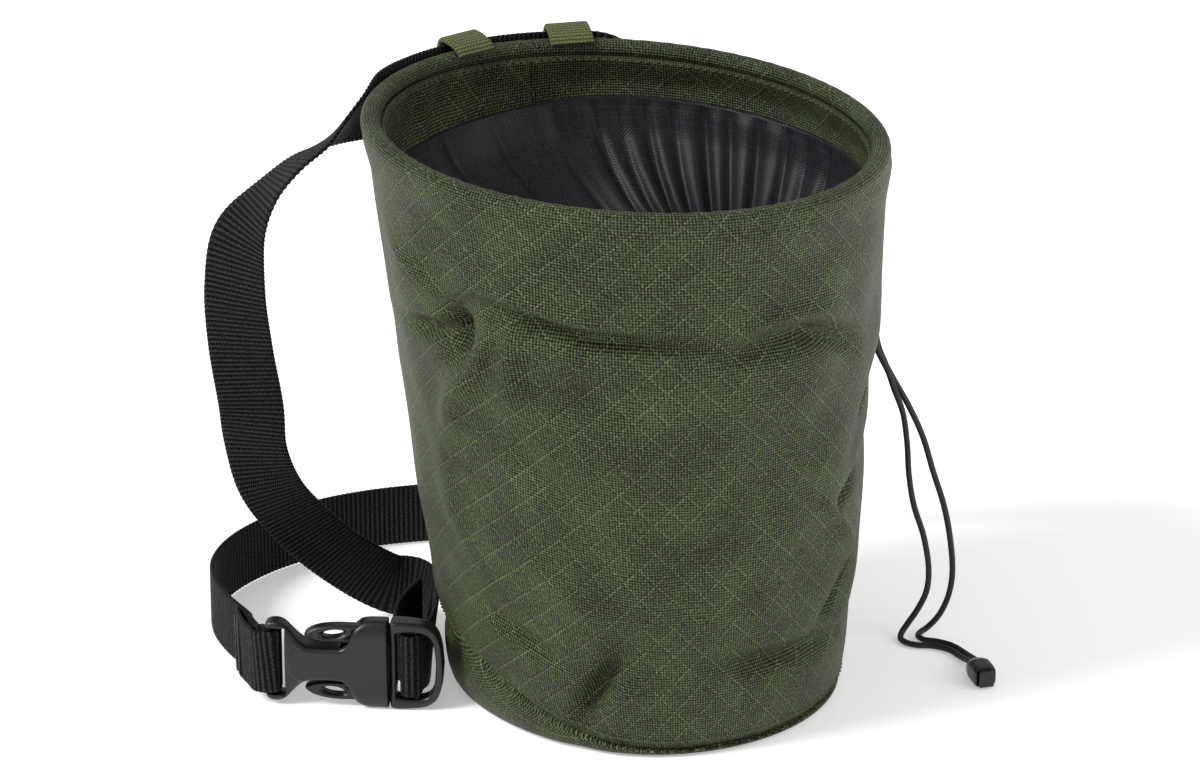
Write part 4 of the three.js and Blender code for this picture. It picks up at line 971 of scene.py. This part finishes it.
def disc_object(name, grid, finish):
    """A closed skin whose first and last rows end in a middle point each."""
    rows, columns = grid.shape[:2]
    points = np.vstack([grid.reshape(-1, 3), grid[0].mean(axis=0), grid[-1].mean(axis=0)])
    faces = grid_faces(rows, columns, False, True).tolist()
    low, high = rows * columns, rows * columns + 1
    faces += [[low, (i + 1) % columns, i] for i in range(columns)]
    start = (rows - 1) * columns
    faces += [[high, start + i, start + (i + 1) % columns] for i in range(columns)]
    corners = [i for face in faces for i in face]
    angle = np.arctan2(points[corners, 1], points[corners, 0])
    spread = np.hypot(points[corners, 0], points[corners, 1]) + points[corners, 2]
    cloth = np.stack([spread * np.cos(angle), spread * np.sin(angle)], axis=1)
    return add_object(name, points, faces, cloth, finish)


base_grid = np.array(base_rows(False) + base_rows(True)[::-1])
base = disc_object("base_disc", base_grid, olive_ripstop)
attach(base, "root")
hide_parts("base_panel")
print("base:", len(base.data.polygons), "faces")

# %% [markdown]
# ## Straps
# A strap is a path of middle points with a direction across it at each point. Its section is a flat band
# with rounded edges, swept along the path. The belt's weft makes ribs across it, so its thickness swells and
# sinks along the path.


# %% Strap helper
STRAP_STEP = 0.4


def strap_section(width, thick, sides):
    """Points round a band: across and through, with rounded edges, and how far round each is."""
    edge = thick / 2
    flat = np.linspace(-1, 1, sides)
    across = list(flat * (width / 2 - edge))
    turns = np.linspace(math.pi / 2, -math.pi / 2, 6)[1:-1]
    top = [(a, edge) for a in across]
    right = [(width / 2 - edge + edge * math.cos(t), edge * math.sin(t)) for t in turns]
    bottom = [(a, -edge) for a in across[::-1]]
    left = [(-(width / 2 - edge) - edge * math.cos(t), edge * math.sin(t)) for t in turns[::-1]]
    return np.array(top + right + bottom + left)


def sweep(name, rows, width, thick, finish, rib, pitch, sides=12):
    """rows are (middle point, direction across) in mm; rib is the depth of the ribs, and pitch their spacing."""
    # the directions ride along as three more numbers, too small to change the spacing
    packed = [np.concatenate([centre, unit(np.asarray(across, float)) * 1e-3]) for centre, across in rows]
    path, length = smooth_path(packed, STRAP_STEP)
    centres = path[:, :3]
    tangents = unit(np.gradient(centres, axis=0))
    across = unit(path[:, 3:])
    across = unit(across - (across * tangents).sum(axis=1, keepdims=True) * tangents)
    normals = unit(np.cross(tangents, across))
    section = strap_section(width, thick, sides)
    run = np.linspace(0, length, len(centres))
    swell = 1 - rib / (thick / 2) * (0.5 + 0.5 * np.cos(2 * math.pi * run / pitch))
    narrow = 1 - rib * 0.35 / (width / 2) * (0.5 + 0.5 * np.cos(2 * math.pi * run / pitch))
    grid = (
        centres[:, None, :]
        + across[:, None, :] * (section[None, :, 0] * narrow[:, None])[..., None]
        + normals[:, None, :] * (section[None, :, 1] * swell[:, None])[..., None]
    )
    round_run = run_along(section)
    round_run = np.append(round_run, round_run[-1] + np.linalg.norm(section[0] - section[-1]))
    cloth = np.stack(np.meshgrid(round_run, run), axis=-1)
    piece = grid_object(name, grid, cloth, finish)
    mesh_caps(piece, len(section), len(centres))
    print(name, "is", round(length), "mm long with", len(piece.data.polygons), "faces")
    return piece, centres, across, normals


def mesh_caps(piece, count, rings):
    """Closes the two open ends of a swept band with a face each."""
    made = bmesh.new()
    made.from_mesh(piece.data)
    made.verts.ensure_lookup_table()
    for start in (0, (rings - 1) * count):
        corners = [made.verts[start + i] for i in range(count)]
        made.faces.new(corners if start else corners[::-1])
    bmesh.ops.recalc_face_normals(made, faces=made.faces)
    made.to_mesh(piece.data)
    made.free()


print("a strap's section has", len(strap_section(20, 1.6, 12)), "points")

# %% [markdown]
# ## Belt
# The belt is one length of 20 mm webbing. It starts sewn round the bar of the buckle's socket half, stands on
# its edge on the floor, rises behind the bag, goes round the back of the rim under the loops, hangs down the
# side in a long curve and goes through the buckle's other half to its free tail.

# %% Belt route
BELT_WIDTH, BELT_THICK = 20, 1.6
BELT_ON_FLOOR = BELT_WIDTH / 2 + 0.3
BELT_RISE, BELT_BACK_GAP = 1, 0.6
BELT_BACK_RADIUS = MOUTH_RADIUS + BELT_BACK_GAP + BELT_THICK / 2
BUCKLE_THICK, BUCKLE_CHEEK, BUCKLE_BAR, BUCKLE_BAR_DEPTH = 9, 3.6, 2.3, 2.8
SOCKET_LENGTH, SOCKET_WALL, PRONG_PLATE = 37.4, 1.7, 4.2
FRAME_THICK, FRAME_LENGTH, BUCKLE_GAP, BAR_FROM = 5.6, 16, 0.6, 0.2
BUCKLE_HALF = BELT_WIDTH / 2 + CLEARANCE * 2 + BUCKLE_CHEEK
SLOT_HALF = BELT_WIDTH / 2 + CLEARANCE * 2
BUCKLE_TURN = math.radians(-5)
BUCKLE_SIDE, BUCKLE_AWAY = -1.49 * MOUTH_RADIUS, -0.239 * MOUTH_RADIUS


def buckle_spot(u, v, w):
    """u runs along the buckle from its left end, v up and w away, from its middle."""
    c, s = math.cos(BUCKLE_TURN), math.sin(BUCKLE_TURN)
    return laid(BUCKLE_SIDE + u * c - w * s, BUCKLE_AWAY + u * s + w * c, BUCKLE_HALF + v)


WRAP = BUCKLE_BAR_DEPTH / 2 + CLEARANCE + BELT_THICK / 2
SEWN_BAR = BAR_FROM + BUCKLE_BAR / 2
FRAME_START = SOCKET_LENGTH + BUCKLE_GAP
FRAME_END = FRAME_START + FRAME_LENGTH
WINDOW_START, WINDOW_END = FRAME_START + FRAME_LENGTH * 0.11, FRAME_END - BUCKLE_BAR
MID_BAR_START = WINDOW_START + BELT_THICK + CLEARANCE * 4
MID_BAR = MID_BAR_START + BUCKLE_BAR / 2


def wrap_rows(bar, rows):
    """Belt rows placed from the middle of a bar of the buckle."""
    return [(buckle_spot(bar + u * WRAP, -drop * BELT_WIDTH, w * WRAP), UPRIGHT) for u, w, drop in rows]


# each row: along the buckle and away from it in wraps of the bar, and how far it sinks in belt widths
SEWN_END = wrap_rows(SEWN_BAR, [
    (-5.1, 9.3, 0.2), (-4.6, 6.6, 0.16), (-3.75, 3.9, 0.1), (-2.65, 1.5, 0.06), (-1.7, -0.45, 0.03),
    (-0.5, -1.12, 0.015), (0.78, -1.05, 0), (1.16, 0, 0), (0.78, 1.05, 0), (-0.3, 1.18, 0.015),
    (-1.1, 1.5, 0.04), (-1.85, 2.6, 0.08), (-2.75, 4.6, 0.12), (-3.55, 7.1, 0.17),
])
# to the side and away in mouth radii, and up in bag heights
ON_FLOOR = [
    (-1.668, 0.2, 0), (-1.725, 0.36, 0), (-1.74, 0.54, 0), (-1.68, 0.75, 0), (-1.54, 0.95, 0), (-1.36, 1.1, 0),
    (-1.16, 1.2, 0), (-0.9, 1.27, 0), (-0.58, 1.31, 0), (-0.25, 1.33, 0.0635), (0.02, 1.34, 0.105),
    (0.26, 1.34, 0.175), (0.46, 1.33, 0.29), (0.6, 1.29, 0.44), (0.66, 1.22, 0.6), (0.63, 1.14, 0.75),
    (0.52, 1.075, 0.87),
]
ON_FLOOR = [
    (laid(s * MOUTH_RADIUS, a * MOUTH_RADIUS, u * BAG_HEIGHT if u else BELT_ON_FLOOR), UPRIGHT)
    for s, a, u in ON_FLOOR
]
ROUND_BACK = []
lean = laid(-BAG_LEAN, 0, 0)
for degrees, drop in ((66, 5), (74, 0.4), (81, 0), (94, 0), (107, 0), (116, 0), (125, 0), (135, 0)):
    turn = math.radians(degrees)
    ROUND_BACK.append((
        np.array([
            lean[0] + BELT_BACK_RADIUS * math.cos(turn),
            lean[1] + BELT_BACK_RADIUS * math.sin(turn),
            rim_height(turn) + BELT_RISE - BELT_WIDTH / 2 - drop,
        ]),
        UPRIGHT,
    ))
# the same, then the direction across the belt
DOWN_SIDE = [
    (-1.128, 0.25, 0.965, 0.1, -0.62, 0.78), (-1.251, 0.13, 0.94, 0.07, -0.96, 0.28),
    (-1.364, 0.045, 0.915, 0.29, -0.93, 0.21), (-1.469, -0.01, 0.872, 0.53, -0.81, 0.26),
    (-1.56, -0.035, 0.803, 0.81, -0.57, 0.17), (-1.584, -0.02, 0.71, 0.91, -0.39, 0.13),
    (-1.573, 0.04, 0.595, 0.96, -0.2, 0.1), (-1.544, 0.11, 0.478, 0.97, -0.12, 0.08),
    (-1.535, 0.17, 0.396, 0.93, -0.3, 0.2), (-1.485, 0.25, 0.3, 0.94, -0.12, 0.3),
    (-1.379, 0.35, 0.215, 0.86, -0.05, 0.48), (-1.236, 0.44, 0.137, 0.74, -0.05, 0.66),
]
DOWN_SIDE = [
    (laid(s * MOUTH_RADIUS, a * MOUTH_RADIUS, u * BAG_HEIGHT), laid(ts, ta, tu))
    for s, a, u, ts, ta, tu in DOWN_SIDE
]
TOWARDS_BUCKLE = [
    (-1.04, 0.52, 0.09, 0.5, 0.86), (-0.93, 0.49, 0.04, 0.34, 0.94), (-0.872, 0.4, 0.02, 0.24, 0.97),
    (-0.857, 0.27, 0.01, 0.18, 0.98), (-0.855, 0.05, 0, 0.1, 1),
]
TOWARDS_BUCKLE = [
    (laid(s * MOUTH_RADIUS, a * MOUTH_RADIUS, BELT_ON_FLOOR + lift * BELT_WIDTH), laid(ts, 0, tu))
    for s, a, lift, ts, tu in TOWARDS_BUCKLE
]
THROUGH_FRAME = wrap_rows(MID_BAR, [
    (1.35, 4.6, 0.12), (1.15, 1.9, 0.015), (1.06, 0.3, 0), (0.74, -0.98, 0), (0, -1.2, 0), (-0.72, -0.98, 0),
    (-1.0, 0.3, 0), (-1.02, 1.9, 0.015), (-1.25, 4.6, 0.12),
])
TAIL = [
    (laid(s * MOUTH_RADIUS, a * MOUTH_RADIUS, BELT_ON_FLOOR), UPRIGHT)
    for s, a in [(-0.99, -0.04), (-0.985, 0.12), (-0.95, 0.24), (-0.905, 0.35)]
]
BELT_ROWS = SEWN_END + ON_FLOOR + ROUND_BACK + DOWN_SIDE + TOWARDS_BUCKLE + THROUGH_FRAME + TAIL
print("the belt's route has", len(BELT_ROWS), "points")

# %% [markdown]
# Woven webbing is stiff across and limp along, so the belt bends and twists but never folds over its width.
# The whole route is one sweep, so the ribs run on without a break from the sewn end to the tail.

# %% Belt
belt, belt_line, belt_across, belt_normals = sweep(
    "waist_belt", BELT_ROWS, BELT_WIDTH, BELT_THICK, black_webbing, rib=0.34, pitch=1.6
)
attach(belt, "root")
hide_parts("belt")

# %% [markdown]
# ## Belt loops
# Two short tabs of olive webbing hold the belt. Each is sewn inside the rim, goes over the belt and is sewn
# to the shell below it.

# %% Belt loops
LOOP_WIDTH, LOOP_THICK, LOOP_SEWN = 13.5, 1.5, 7
LOOP_START, LOOP_BEND = 2.6, 2.1  # on the rim's roll, in radians from straight out


def loop_rows(angle):
    """A tab's path: out of the mouth, over the roll and the belt, and down to the shell."""
    across = np.array([-math.sin(angle), math.cos(angle), 0.0])
    rim, bead = float(rim_height(angle)), RIM_BEAD / 2
    bow = MOUTH_RADIUS - math.sqrt(MOUTH_RADIUS**2 - (LOOP_WIDTH / 2) ** 2)
    hug = bead + bow + CLEARANCE + LOOP_THICK / 2
    top = rim + BELT_RISE
    outside = BELT_BACK_RADIUS + BELT_THICK / 2 + CLEARANCE + LOOP_THICK
    sewn = top - BELT_WIDTH - LOOP_THICK * 3
    lean = laid(-BAG_LEAN, 0, 0)

    def at(radius, height):
        out = lean[:2] + radius * np.array([math.cos(angle), math.sin(angle)])
        return np.array([*out, height]), across

    def on_shell(height):
        up = (height - seam_height(angle)) / (rim - seam_height(angle))
        turns = angle + np.linspace(-1, 1, 5) * LOOP_WIDTH / 2 / MOUTH_RADIUS
        radius = shell_radius(turns, np.full(5, up)).max() + bow + CLEARANCE + LOOP_THICK / 2
        return bag_point(np.array([angle]), np.array([up]), np.array([radius]))[0], across

    return [
        at(MOUTH_RADIUS - bead + hug * math.cos(LOOP_START), rim - bead + hug * math.sin(LOOP_START)),
        at(MOUTH_RADIUS - bead + hug * math.cos(LOOP_BEND), rim - bead + hug * math.sin(LOOP_BEND)),
        at(MOUTH_RADIUS - bead, rim - bead + hug + CLEARANCE),
        at(BELT_BACK_RADIUS - BELT_THICK / 2, top + LOOP_THICK),
        at(BELT_BACK_RADIUS + BELT_THICK, top + LOOP_THICK * 0.9),
        at(outside + CLEARANCE, top - LOOP_THICK),
        at(outside + CLEARANCE, top - BELT_WIDTH * 0.4),
        at(outside, top - BELT_WIDTH * 0.8),
        at(outside - LOOP_THICK * 0.6, top - BELT_WIDTH - LOOP_THICK),
        on_shell(sewn),
        on_shell(sewn - LOOP_SEWN / 2),
        on_shell(sewn - LOOP_SEWN),
    ]


for name, degrees in (("belt_loop_left", 107), ("belt_loop_right", 81)):
    rows = loop_rows(math.radians(degrees))
    tab = sweep(name + "_tab", rows, LOOP_WIDTH, LOOP_THICK, olive_webbing, rib=0.12, pitch=1.2)[0]
    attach(tab, "root")
    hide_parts(name)

# %% [markdown]
# ## Stitches
# Sewing shows as short lengths of thread that rise out of the cloth and dive back in. Each is a thin tube of
# a few rings, arched over the surface. One function lays a row of them along a line, given the way up at each
# point, and every seam uses it.


# %% Stitch helper
STITCH_RINGS, STITCH_SIDES = 5, 6


def stitch_row(name, line, ups, pitch, long, thick, finish, gap=0.06):
    """Stitches along a line: pitch is from one to the next, and long is how much of it shows."""
    run = run_along(line)
    starts = np.arange(pitch / 2, run[-1] - long, pitch)
    share = np.linspace(0, 1, STITCH_RINGS)
    at = (starts[:, None] + share * long).ravel()
    centre = np.stack([np.interp(at, run, line[:, i]) for i in range(3)], axis=1)
    up = unit(np.stack([np.interp(at, run, ups[:, i]) for i in range(3)], axis=1))
    ahead = np.stack([np.interp(at + 0.1, run, line[:, i]) for i in range(3)], axis=1)
    behind = np.stack([np.interp(at - 0.1, run, line[:, i]) for i in range(3)], axis=1)
    side = unit(np.cross(unit(ahead - behind + 1e-9), up))
    arch = np.tile(np.sin(np.pi * share) ** 0.6, len(starts))
    centre = centre + up * ((arch - 0.75) * thick * 0.8 + gap)[:, None]
    turns = np.arange(STITCH_SIDES) / STITCH_SIDES * 2 * math.pi
    radius = (thick / 2 * (0.45 + 0.55 * arch))[:, None, None]
    ring = centre[:, None] + radius * (
        np.cos(turns)[None, :, None] * side[:, None] + np.sin(turns)[None, :, None] * up[:, None]
    )
    tube = grid_faces(STITCH_RINGS, STITCH_SIDES, False, True)
    size = STITCH_RINGS * STITCH_SIDES
    faces = (tube[None] + np.arange(len(starts))[:, None, None] * size).reshape(-1, 4).tolist()
    caps = np.arange(STITCH_SIDES)
    for i in range(len(starts)):
        faces.append((caps[::-1] + i * size).tolist())
        faces.append((caps + (i + 1) * size - STITCH_SIDES).tolist())
    piece = add_object(name, ring.reshape(-1, 3), faces, finish=finish)
    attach(piece, "root")
    print(name, "has", len(starts), "stitches")
    return piece


def radial(angle):
    return np.stack([np.cos(angle), np.sin(angle), np.zeros_like(angle)], axis=-1)


# %% [markdown]
# Three seams go all the way round: the hem over the base, the roll at the rim and the collar to the facing.
# They are lockstitched, about ten stitches to 25 mm.

# %% Seams of the bag
STITCH_PITCH, STITCH_LONG, THREAD_THICK = 2.6, 1.9, 0.5
TURN_ROUND = np.append(ANGLES, 2 * math.pi)


def closed(row):
    return np.vstack([row, row[:1]])


base_seam = closed(shell_row(0.018))
collar_seam, rim_seam = [closed(row) for row in facing_rows(FACING_WALL, [0.09, 0.93])]
for name, line, side in (
    ("base_seam_stitches", base_seam, 1),
    ("collar_seam_stitches", collar_seam, -1),
    ("rim_seam_stitches", rim_seam, -1),
):
    ups = radial(TURN_ROUND) * side
    row = stitch_row(name, line, ups, STITCH_PITCH, STITCH_LONG, THREAD_THICK, olive_thread)


# %% [markdown]
# Where a strap is sewn to itself, a bartack takes the pull: a dense zigzag across the strap. The belt has two
# beside the buckle, on the side that is seen.

# %% Bartacks of the belt
BAR_LIFT = BELT_THICK / 2 + 0.3
BAR_TURNS, BAR_HALF, BAR_SHARE = 26, 1.1, 0.44
TO_CAMERA = laid(0, -1, 0.4)


def bartack(name, at):
    """A zigzag across the belt, at a distance along it in mm."""
    i = np.searchsorted(run_along(belt_line), at)
    out = belt_normals[i] * (1 if belt_normals[i] @ TO_CAMERA > 0 else -1)
    y = np.linspace(-BAR_SHARE, BAR_SHARE, BAR_TURNS * 2) * BELT_WIDTH
    x = np.where(np.arange(BAR_TURNS * 2) % 2, BAR_HALF, -BAR_HALF)
    way = unit(belt_line[i + 1] - belt_line[i - 1])
    points = belt_line[i] + y[:, None] * belt_across[i] + x[:, None] * way + out * BAR_LIFT
    points = np.repeat(points, 2, axis=0)[1:-1] + np.linspace(0, 1e-3, BAR_TURNS * 4 - 2)[:, None]
    ups = np.tile(out, (len(points), 1))
    row = stitch_row(name, points, ups, 2 * BAR_HALF + 0.05, 2.0, THREAD_THICK, black_thread, gap=0.0)


bartack("belt_bartack_end", 7.0)
bartack("belt_bartack_bar", 12.5)

# %% [markdown]
# ## Buckle, socket half
# The socket half is a spool: two ears hold the bar that the belt is sewn round, a waist leaves room for two
# fingers, and a hood takes the prongs. A flat panel with a round end stands a little proud of the front, and
# the plastic slopes away from it to the ears.

# %% Socket half
WAIST_HALF = BUCKLE_HALF * 0.365
HOOD_START = SOCKET_LENGTH * 0.625
SLOT_END = BAR_FROM + BUCKLE_BAR + BELT_THICK * 2 + CLEARANCE
PANEL_END, PANEL_HALF = 13.2, 5.5
SHOULDER_FROM, SHOULDER_WIDE, SHOULDER_DROP = 8.0, 6.3, 1.9
# the upper half, in shares of the length and of the half height
SOCKET_OUTLINE = [
    (0, 0.76), (0.02, 0.87), (0.06, 0.915), (0.12, 0.905), (0.17, 0.84), (0.23, 0.66), (0.285, 0.5),
    (0.34, 0.4), (0.42, 0.365), (0.53, 0.365), (0.63, 0.39), (0.675, 0.5), (0.705, 0.68),
    (0.74, 0.85), (0.79, 0.955), (0.85, 0.995), (0.92, 1.0), (1.0, 1.0),
]


def socket_field(u, v, w):
    """A swelling slab cut to the outline, less the slots round the bar and the hollow for the prongs."""
    flat_u, flat_v = u[:, :, 0], v[:, :, 0]
    upper = [(a * SOCKET_LENGTH, b * BUCKLE_HALF) for a, b in SOCKET_OUTLINE]
    outline = mirrored(upper)
    edge = outline_field(outline, flat_u, flat_v)
    panel = np.hypot(np.minimum(flat_u - PANEL_END, 0), flat_v) - PANEL_HALF
    in_hood = np.clip((flat_u - HOOD_START + 2.5) / 3.5, 0, 1)
    in_hood = in_hood * in_hood * (3 - 2 * in_hood)
    proud = np.clip(panel / 0.7, 0, 1)
    slope = 0.35 * proud + 0.17 * np.maximum(panel, 0)
    shoulder = SHOULDER_DROP * (np.maximum(np.abs(flat_v) - SHOULDER_FROM, 0) / SHOULDER_WIDE) ** 2
    half = BUCKLE_THICK / 2 - slope * (1 - in_hood) - shoulder * in_hood
    ears = np.clip((7.5 - flat_u) / 3, 0, 1)
    half = half * (1 - ears) + np.minimum(half + 0.5, 4.1) * ears
    body = soft_max(edge[..., None], np.abs(w) - half[..., None], 1.7)
    bar = BUCKLE_BAR_DEPTH / 2
    for low, high in (
        ((-2, -SLOT_HALF, bar), (SLOT_END, SLOT_HALF, 9)),
        ((-2, -SLOT_HALF, -9), (SLOT_END, SLOT_HALF, -bar)),
        ((-2, -SLOT_HALF, -9), (BAR_FROM, SLOT_HALF, 9)),
        ((BAR_FROM + BUCKLE_BAR, -SLOT_HALF, -9), (SLOT_END, SLOT_HALF, 9)),
    ):
        body = soft_max(body, -box_field(u, v, w, low, high), 0.7)
    inner = BUCKLE_HALF - SOCKET_WALL
    cavity = PRONG_PLATE / 2 + CLEARANCE
    hollow = box_field(
        u, v, w, (HOOD_START - 0.5, -inner, -cavity), (SOCKET_LENGTH + 2, inner, cavity)
    )
    return soft_max(body, -hollow, 0.5)


BUCKLE_GRID = 0.28  # mm between the points where the field is worked out
FIELD_TALL = 15.1  # just past the buckle's half height
socket = field_object(
    "buckle_socket", socket_field, (-1.5, -FIELD_TALL, -5.4), (SOCKET_LENGTH + 0.9, FIELD_TALL, 5.4),
    BUCKLE_GRID, buckle_spot, black_acetal,
)
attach(socket, "root")
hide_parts("buckle_female")

# %% [markdown]
# ## Buckle, prong half
# Two sprung prongs, each with a raised rim round a leaf-shaped eye, reach into the hood. Behind them a frame
# with a rounded end holds the bar that the belt is pulled round.

# %% Prong half
PRONG_ROOT = SOCKET_LENGTH * 0.85


def prong_field(u, v, w):
    """A thin plate with two prongs, joined to a thicker frame that holds a bar."""
    flat_u, flat_v = u[:, :, 0], v[:, :, 0]
    long, tall = SOCKET_LENGTH, BUCKLE_HALF
    reach = BUCKLE_HALF - SOCKET_WALL - CLEARANCE
    # one prong, drawn above the middle line and mirrored by taking the size of v
    arm = smooth_path(
        [(long * a, b, 0) for a, b in (
            (1.03, WAIST_HALF * 1.22), (0.8, WAIST_HALF * 1.22), (0.62, WAIST_HALF * 1.22),
            (0.45, WAIST_HALF * 1.28), (0.36, WAIST_HALF * 1.42), (0.32, tall * 0.6), (0.35, tall * 0.7),
            (0.42, tall * 0.79), (0.53, reach * 0.985), (0.7, reach), (1.03, reach),
        )],
        0.5,
    )[0][:, :2]
    arm_edge = outline_field(arm, flat_u, np.abs(flat_v))
    root = np.maximum(np.maximum(PRONG_ROOT - flat_u, flat_u - FRAME_START - 1.2), np.abs(flat_v) - reach)
    edge = np.minimum(arm_edge, root)
    eye_u, eye_v = (flat_u - long * 0.555) / (long * 0.088), (np.abs(flat_v) - tall * 0.655) / (tall * 0.085)
    lean = eye_v - 0.35 * eye_u
    eye = (np.hypot(eye_u, lean) - 1) * 1.15
    rim = np.exp(-(((arm_edge + 0.75) / 0.5) ** 2)) + np.exp(-(((eye - 0.7) / 0.45) ** 2))
    half = PRONG_PLATE / 2 - 0.6 + 0.6 * np.minimum(rim, 1)
    plate = soft_max(np.maximum(edge, -eye)[..., None], np.abs(w) - half[..., None], 0.6)

    frame_outline = mirrored([
        (FRAME_START, 0), (FRAME_START, tall * 0.5), (FRAME_START, tall * 0.95),
        (FRAME_START + 0.4, tall * 0.985),
        (FRAME_START + FRAME_LENGTH * 0.4, tall * 0.98), (FRAME_START + FRAME_LENGTH * 0.68, tall * 0.93),
        (FRAME_START + FRAME_LENGTH * 0.86, tall * 0.78), (FRAME_START + FRAME_LENGTH * 0.955, tall * 0.5),
        (FRAME_END, 0),
    ])
    window = mirrored([
        (WINDOW_START, 0), (WINDOW_START, SLOT_HALF * 0.6), (WINDOW_START, SLOT_HALF * 0.98),
        (WINDOW_START + 0.5, SLOT_HALF), (WINDOW_END - 4.6, SLOT_HALF), (WINDOW_END - 2.2, SLOT_HALF * 0.9),
        (WINDOW_END - 0.7, SLOT_HALF * 0.62), (WINDOW_END, 0),
    ])
    ring = np.maximum(outline_field(frame_outline, flat_u, flat_v), -outline_field(window, flat_u, flat_v))
    swell = FRAME_THICK / 2 + 0.35 * np.exp(-(((flat_u - FRAME_START - 4) / 5) ** 2))
    frame = soft_max(ring[..., None], np.abs(w) - swell[..., None], 1.3)
    bar = box_field(
        u, v, w, (MID_BAR_START + 0.5, -tall + 2, -BUCKLE_BAR_DEPTH / 2 + 0.5),
        (MID_BAR_START + BUCKLE_BAR - 0.5, tall - 2, BUCKLE_BAR_DEPTH / 2 - 0.5),
    ) - 0.5
    return soft_min(soft_min(plate, frame, 0.5), bar, 0.5)


prongs = field_object(
    "buckle_prongs", prong_field, (SOCKET_LENGTH * 0.29, -FIELD_TALL, -3.8),
    (FRAME_END + 0.9, FIELD_TALL, 3.8), BUCKLE_GRID, buckle_spot, black_acetal,
)
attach(prongs, "root")
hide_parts("buckle_male")

# %% [markdown]
# ## Eyelet
# The cord leaves the bag through a small moulded eyelet, which keeps its solid and gets the plastic's finish.

# %% Eyelet
eyelet = frame["nodes"]["cord_eyelet"]
eyelet.data.materials.clear()
eyelet.data.materials.append(black_acetal)
print("eyelet:", len(eyelet.data.polygons), "faces")

# %% [markdown]
# ## Floor and light
# The floor and the air round the bag are a plain pale grey-white, as in a product photograph. The paper
# gives a little light of its own, so that it stays near white and keeps only a faint shadow.

# %% Floor
floor_finish, tree = new_material("pale_paper")
haze = add_node(tree, "ShaderNodeTexNoise", {"Scale": 3.0})
tone = add_node(
    tree, "ShaderNodeMix", {0: haze.outputs[0], 6: linear("#f4f4f3"), 7: linear("#f8f8f7")}, data_type="RGBA"
)
finish_surface(
    tree,
    {"Base Color": tone.outputs[2], "Roughness": 0.9, "Specular IOR Level": 0.2,
     "Emission Color": linear("#ffffff"), "Emission Strength": 0.35},
)
FLOOR_HALF, FLOOR_UP = 4000, -0.1
corners = [(x * FLOOR_HALF, y * FLOOR_HALF, FLOOR_UP) for x, y in ((-1, -1), (1, -1), (1, 1), (-1, 1))]
floor = add_object("floor", corners, [[0, 1, 2, 3]], finish=floor_finish)
print("floor is", 2 * FLOOR_HALF * MM, "m wide")

# %% [markdown]
# A wide soft sun above and to the left models the folds, a weak disc from the right opens their shadows, and
# the pale air lights the rest.

# %% Light
world = bpy.data.worlds.new("studio")
bpy.context.scene.world = world
world.use_nodes = True
air = world.node_tree.nodes["Background"]
air.inputs[0].default_value = linear("#ffffff")
air.inputs[1].default_value = 0.5
bpy.context.scene.view_settings.view_transform = "Standard"


def lamp_object(name, kind, place, strength, **settings):
    """A lamp at a place along the lay line, in mm, turned to the middle of the bag."""
    lamp = bpy.data.lights.new(name, kind)
    lamp.energy = strength
    for key, value in settings.items():
        setattr(lamp, key, value)
    made = bpy.data.objects.new(name, lamp)
    bpy.context.scene.collection.objects.link(made)
    made.location = Vector(laid(*place)) * MM
    middle = Vector((0, 0, BAG_HEIGHT / 2 + 1)) * MM
    made.rotation_euler = (middle - made.location).to_track_quat("-Z", "Y").to_euler()
    return made


lamp_object("key", "SUN", (-1000, -420, 1050), 2.6, angle=math.radians(20))
lamp_object("side_fill", "AREA", (1000, -300, 500), 4, shape="DISK", size=0.8)
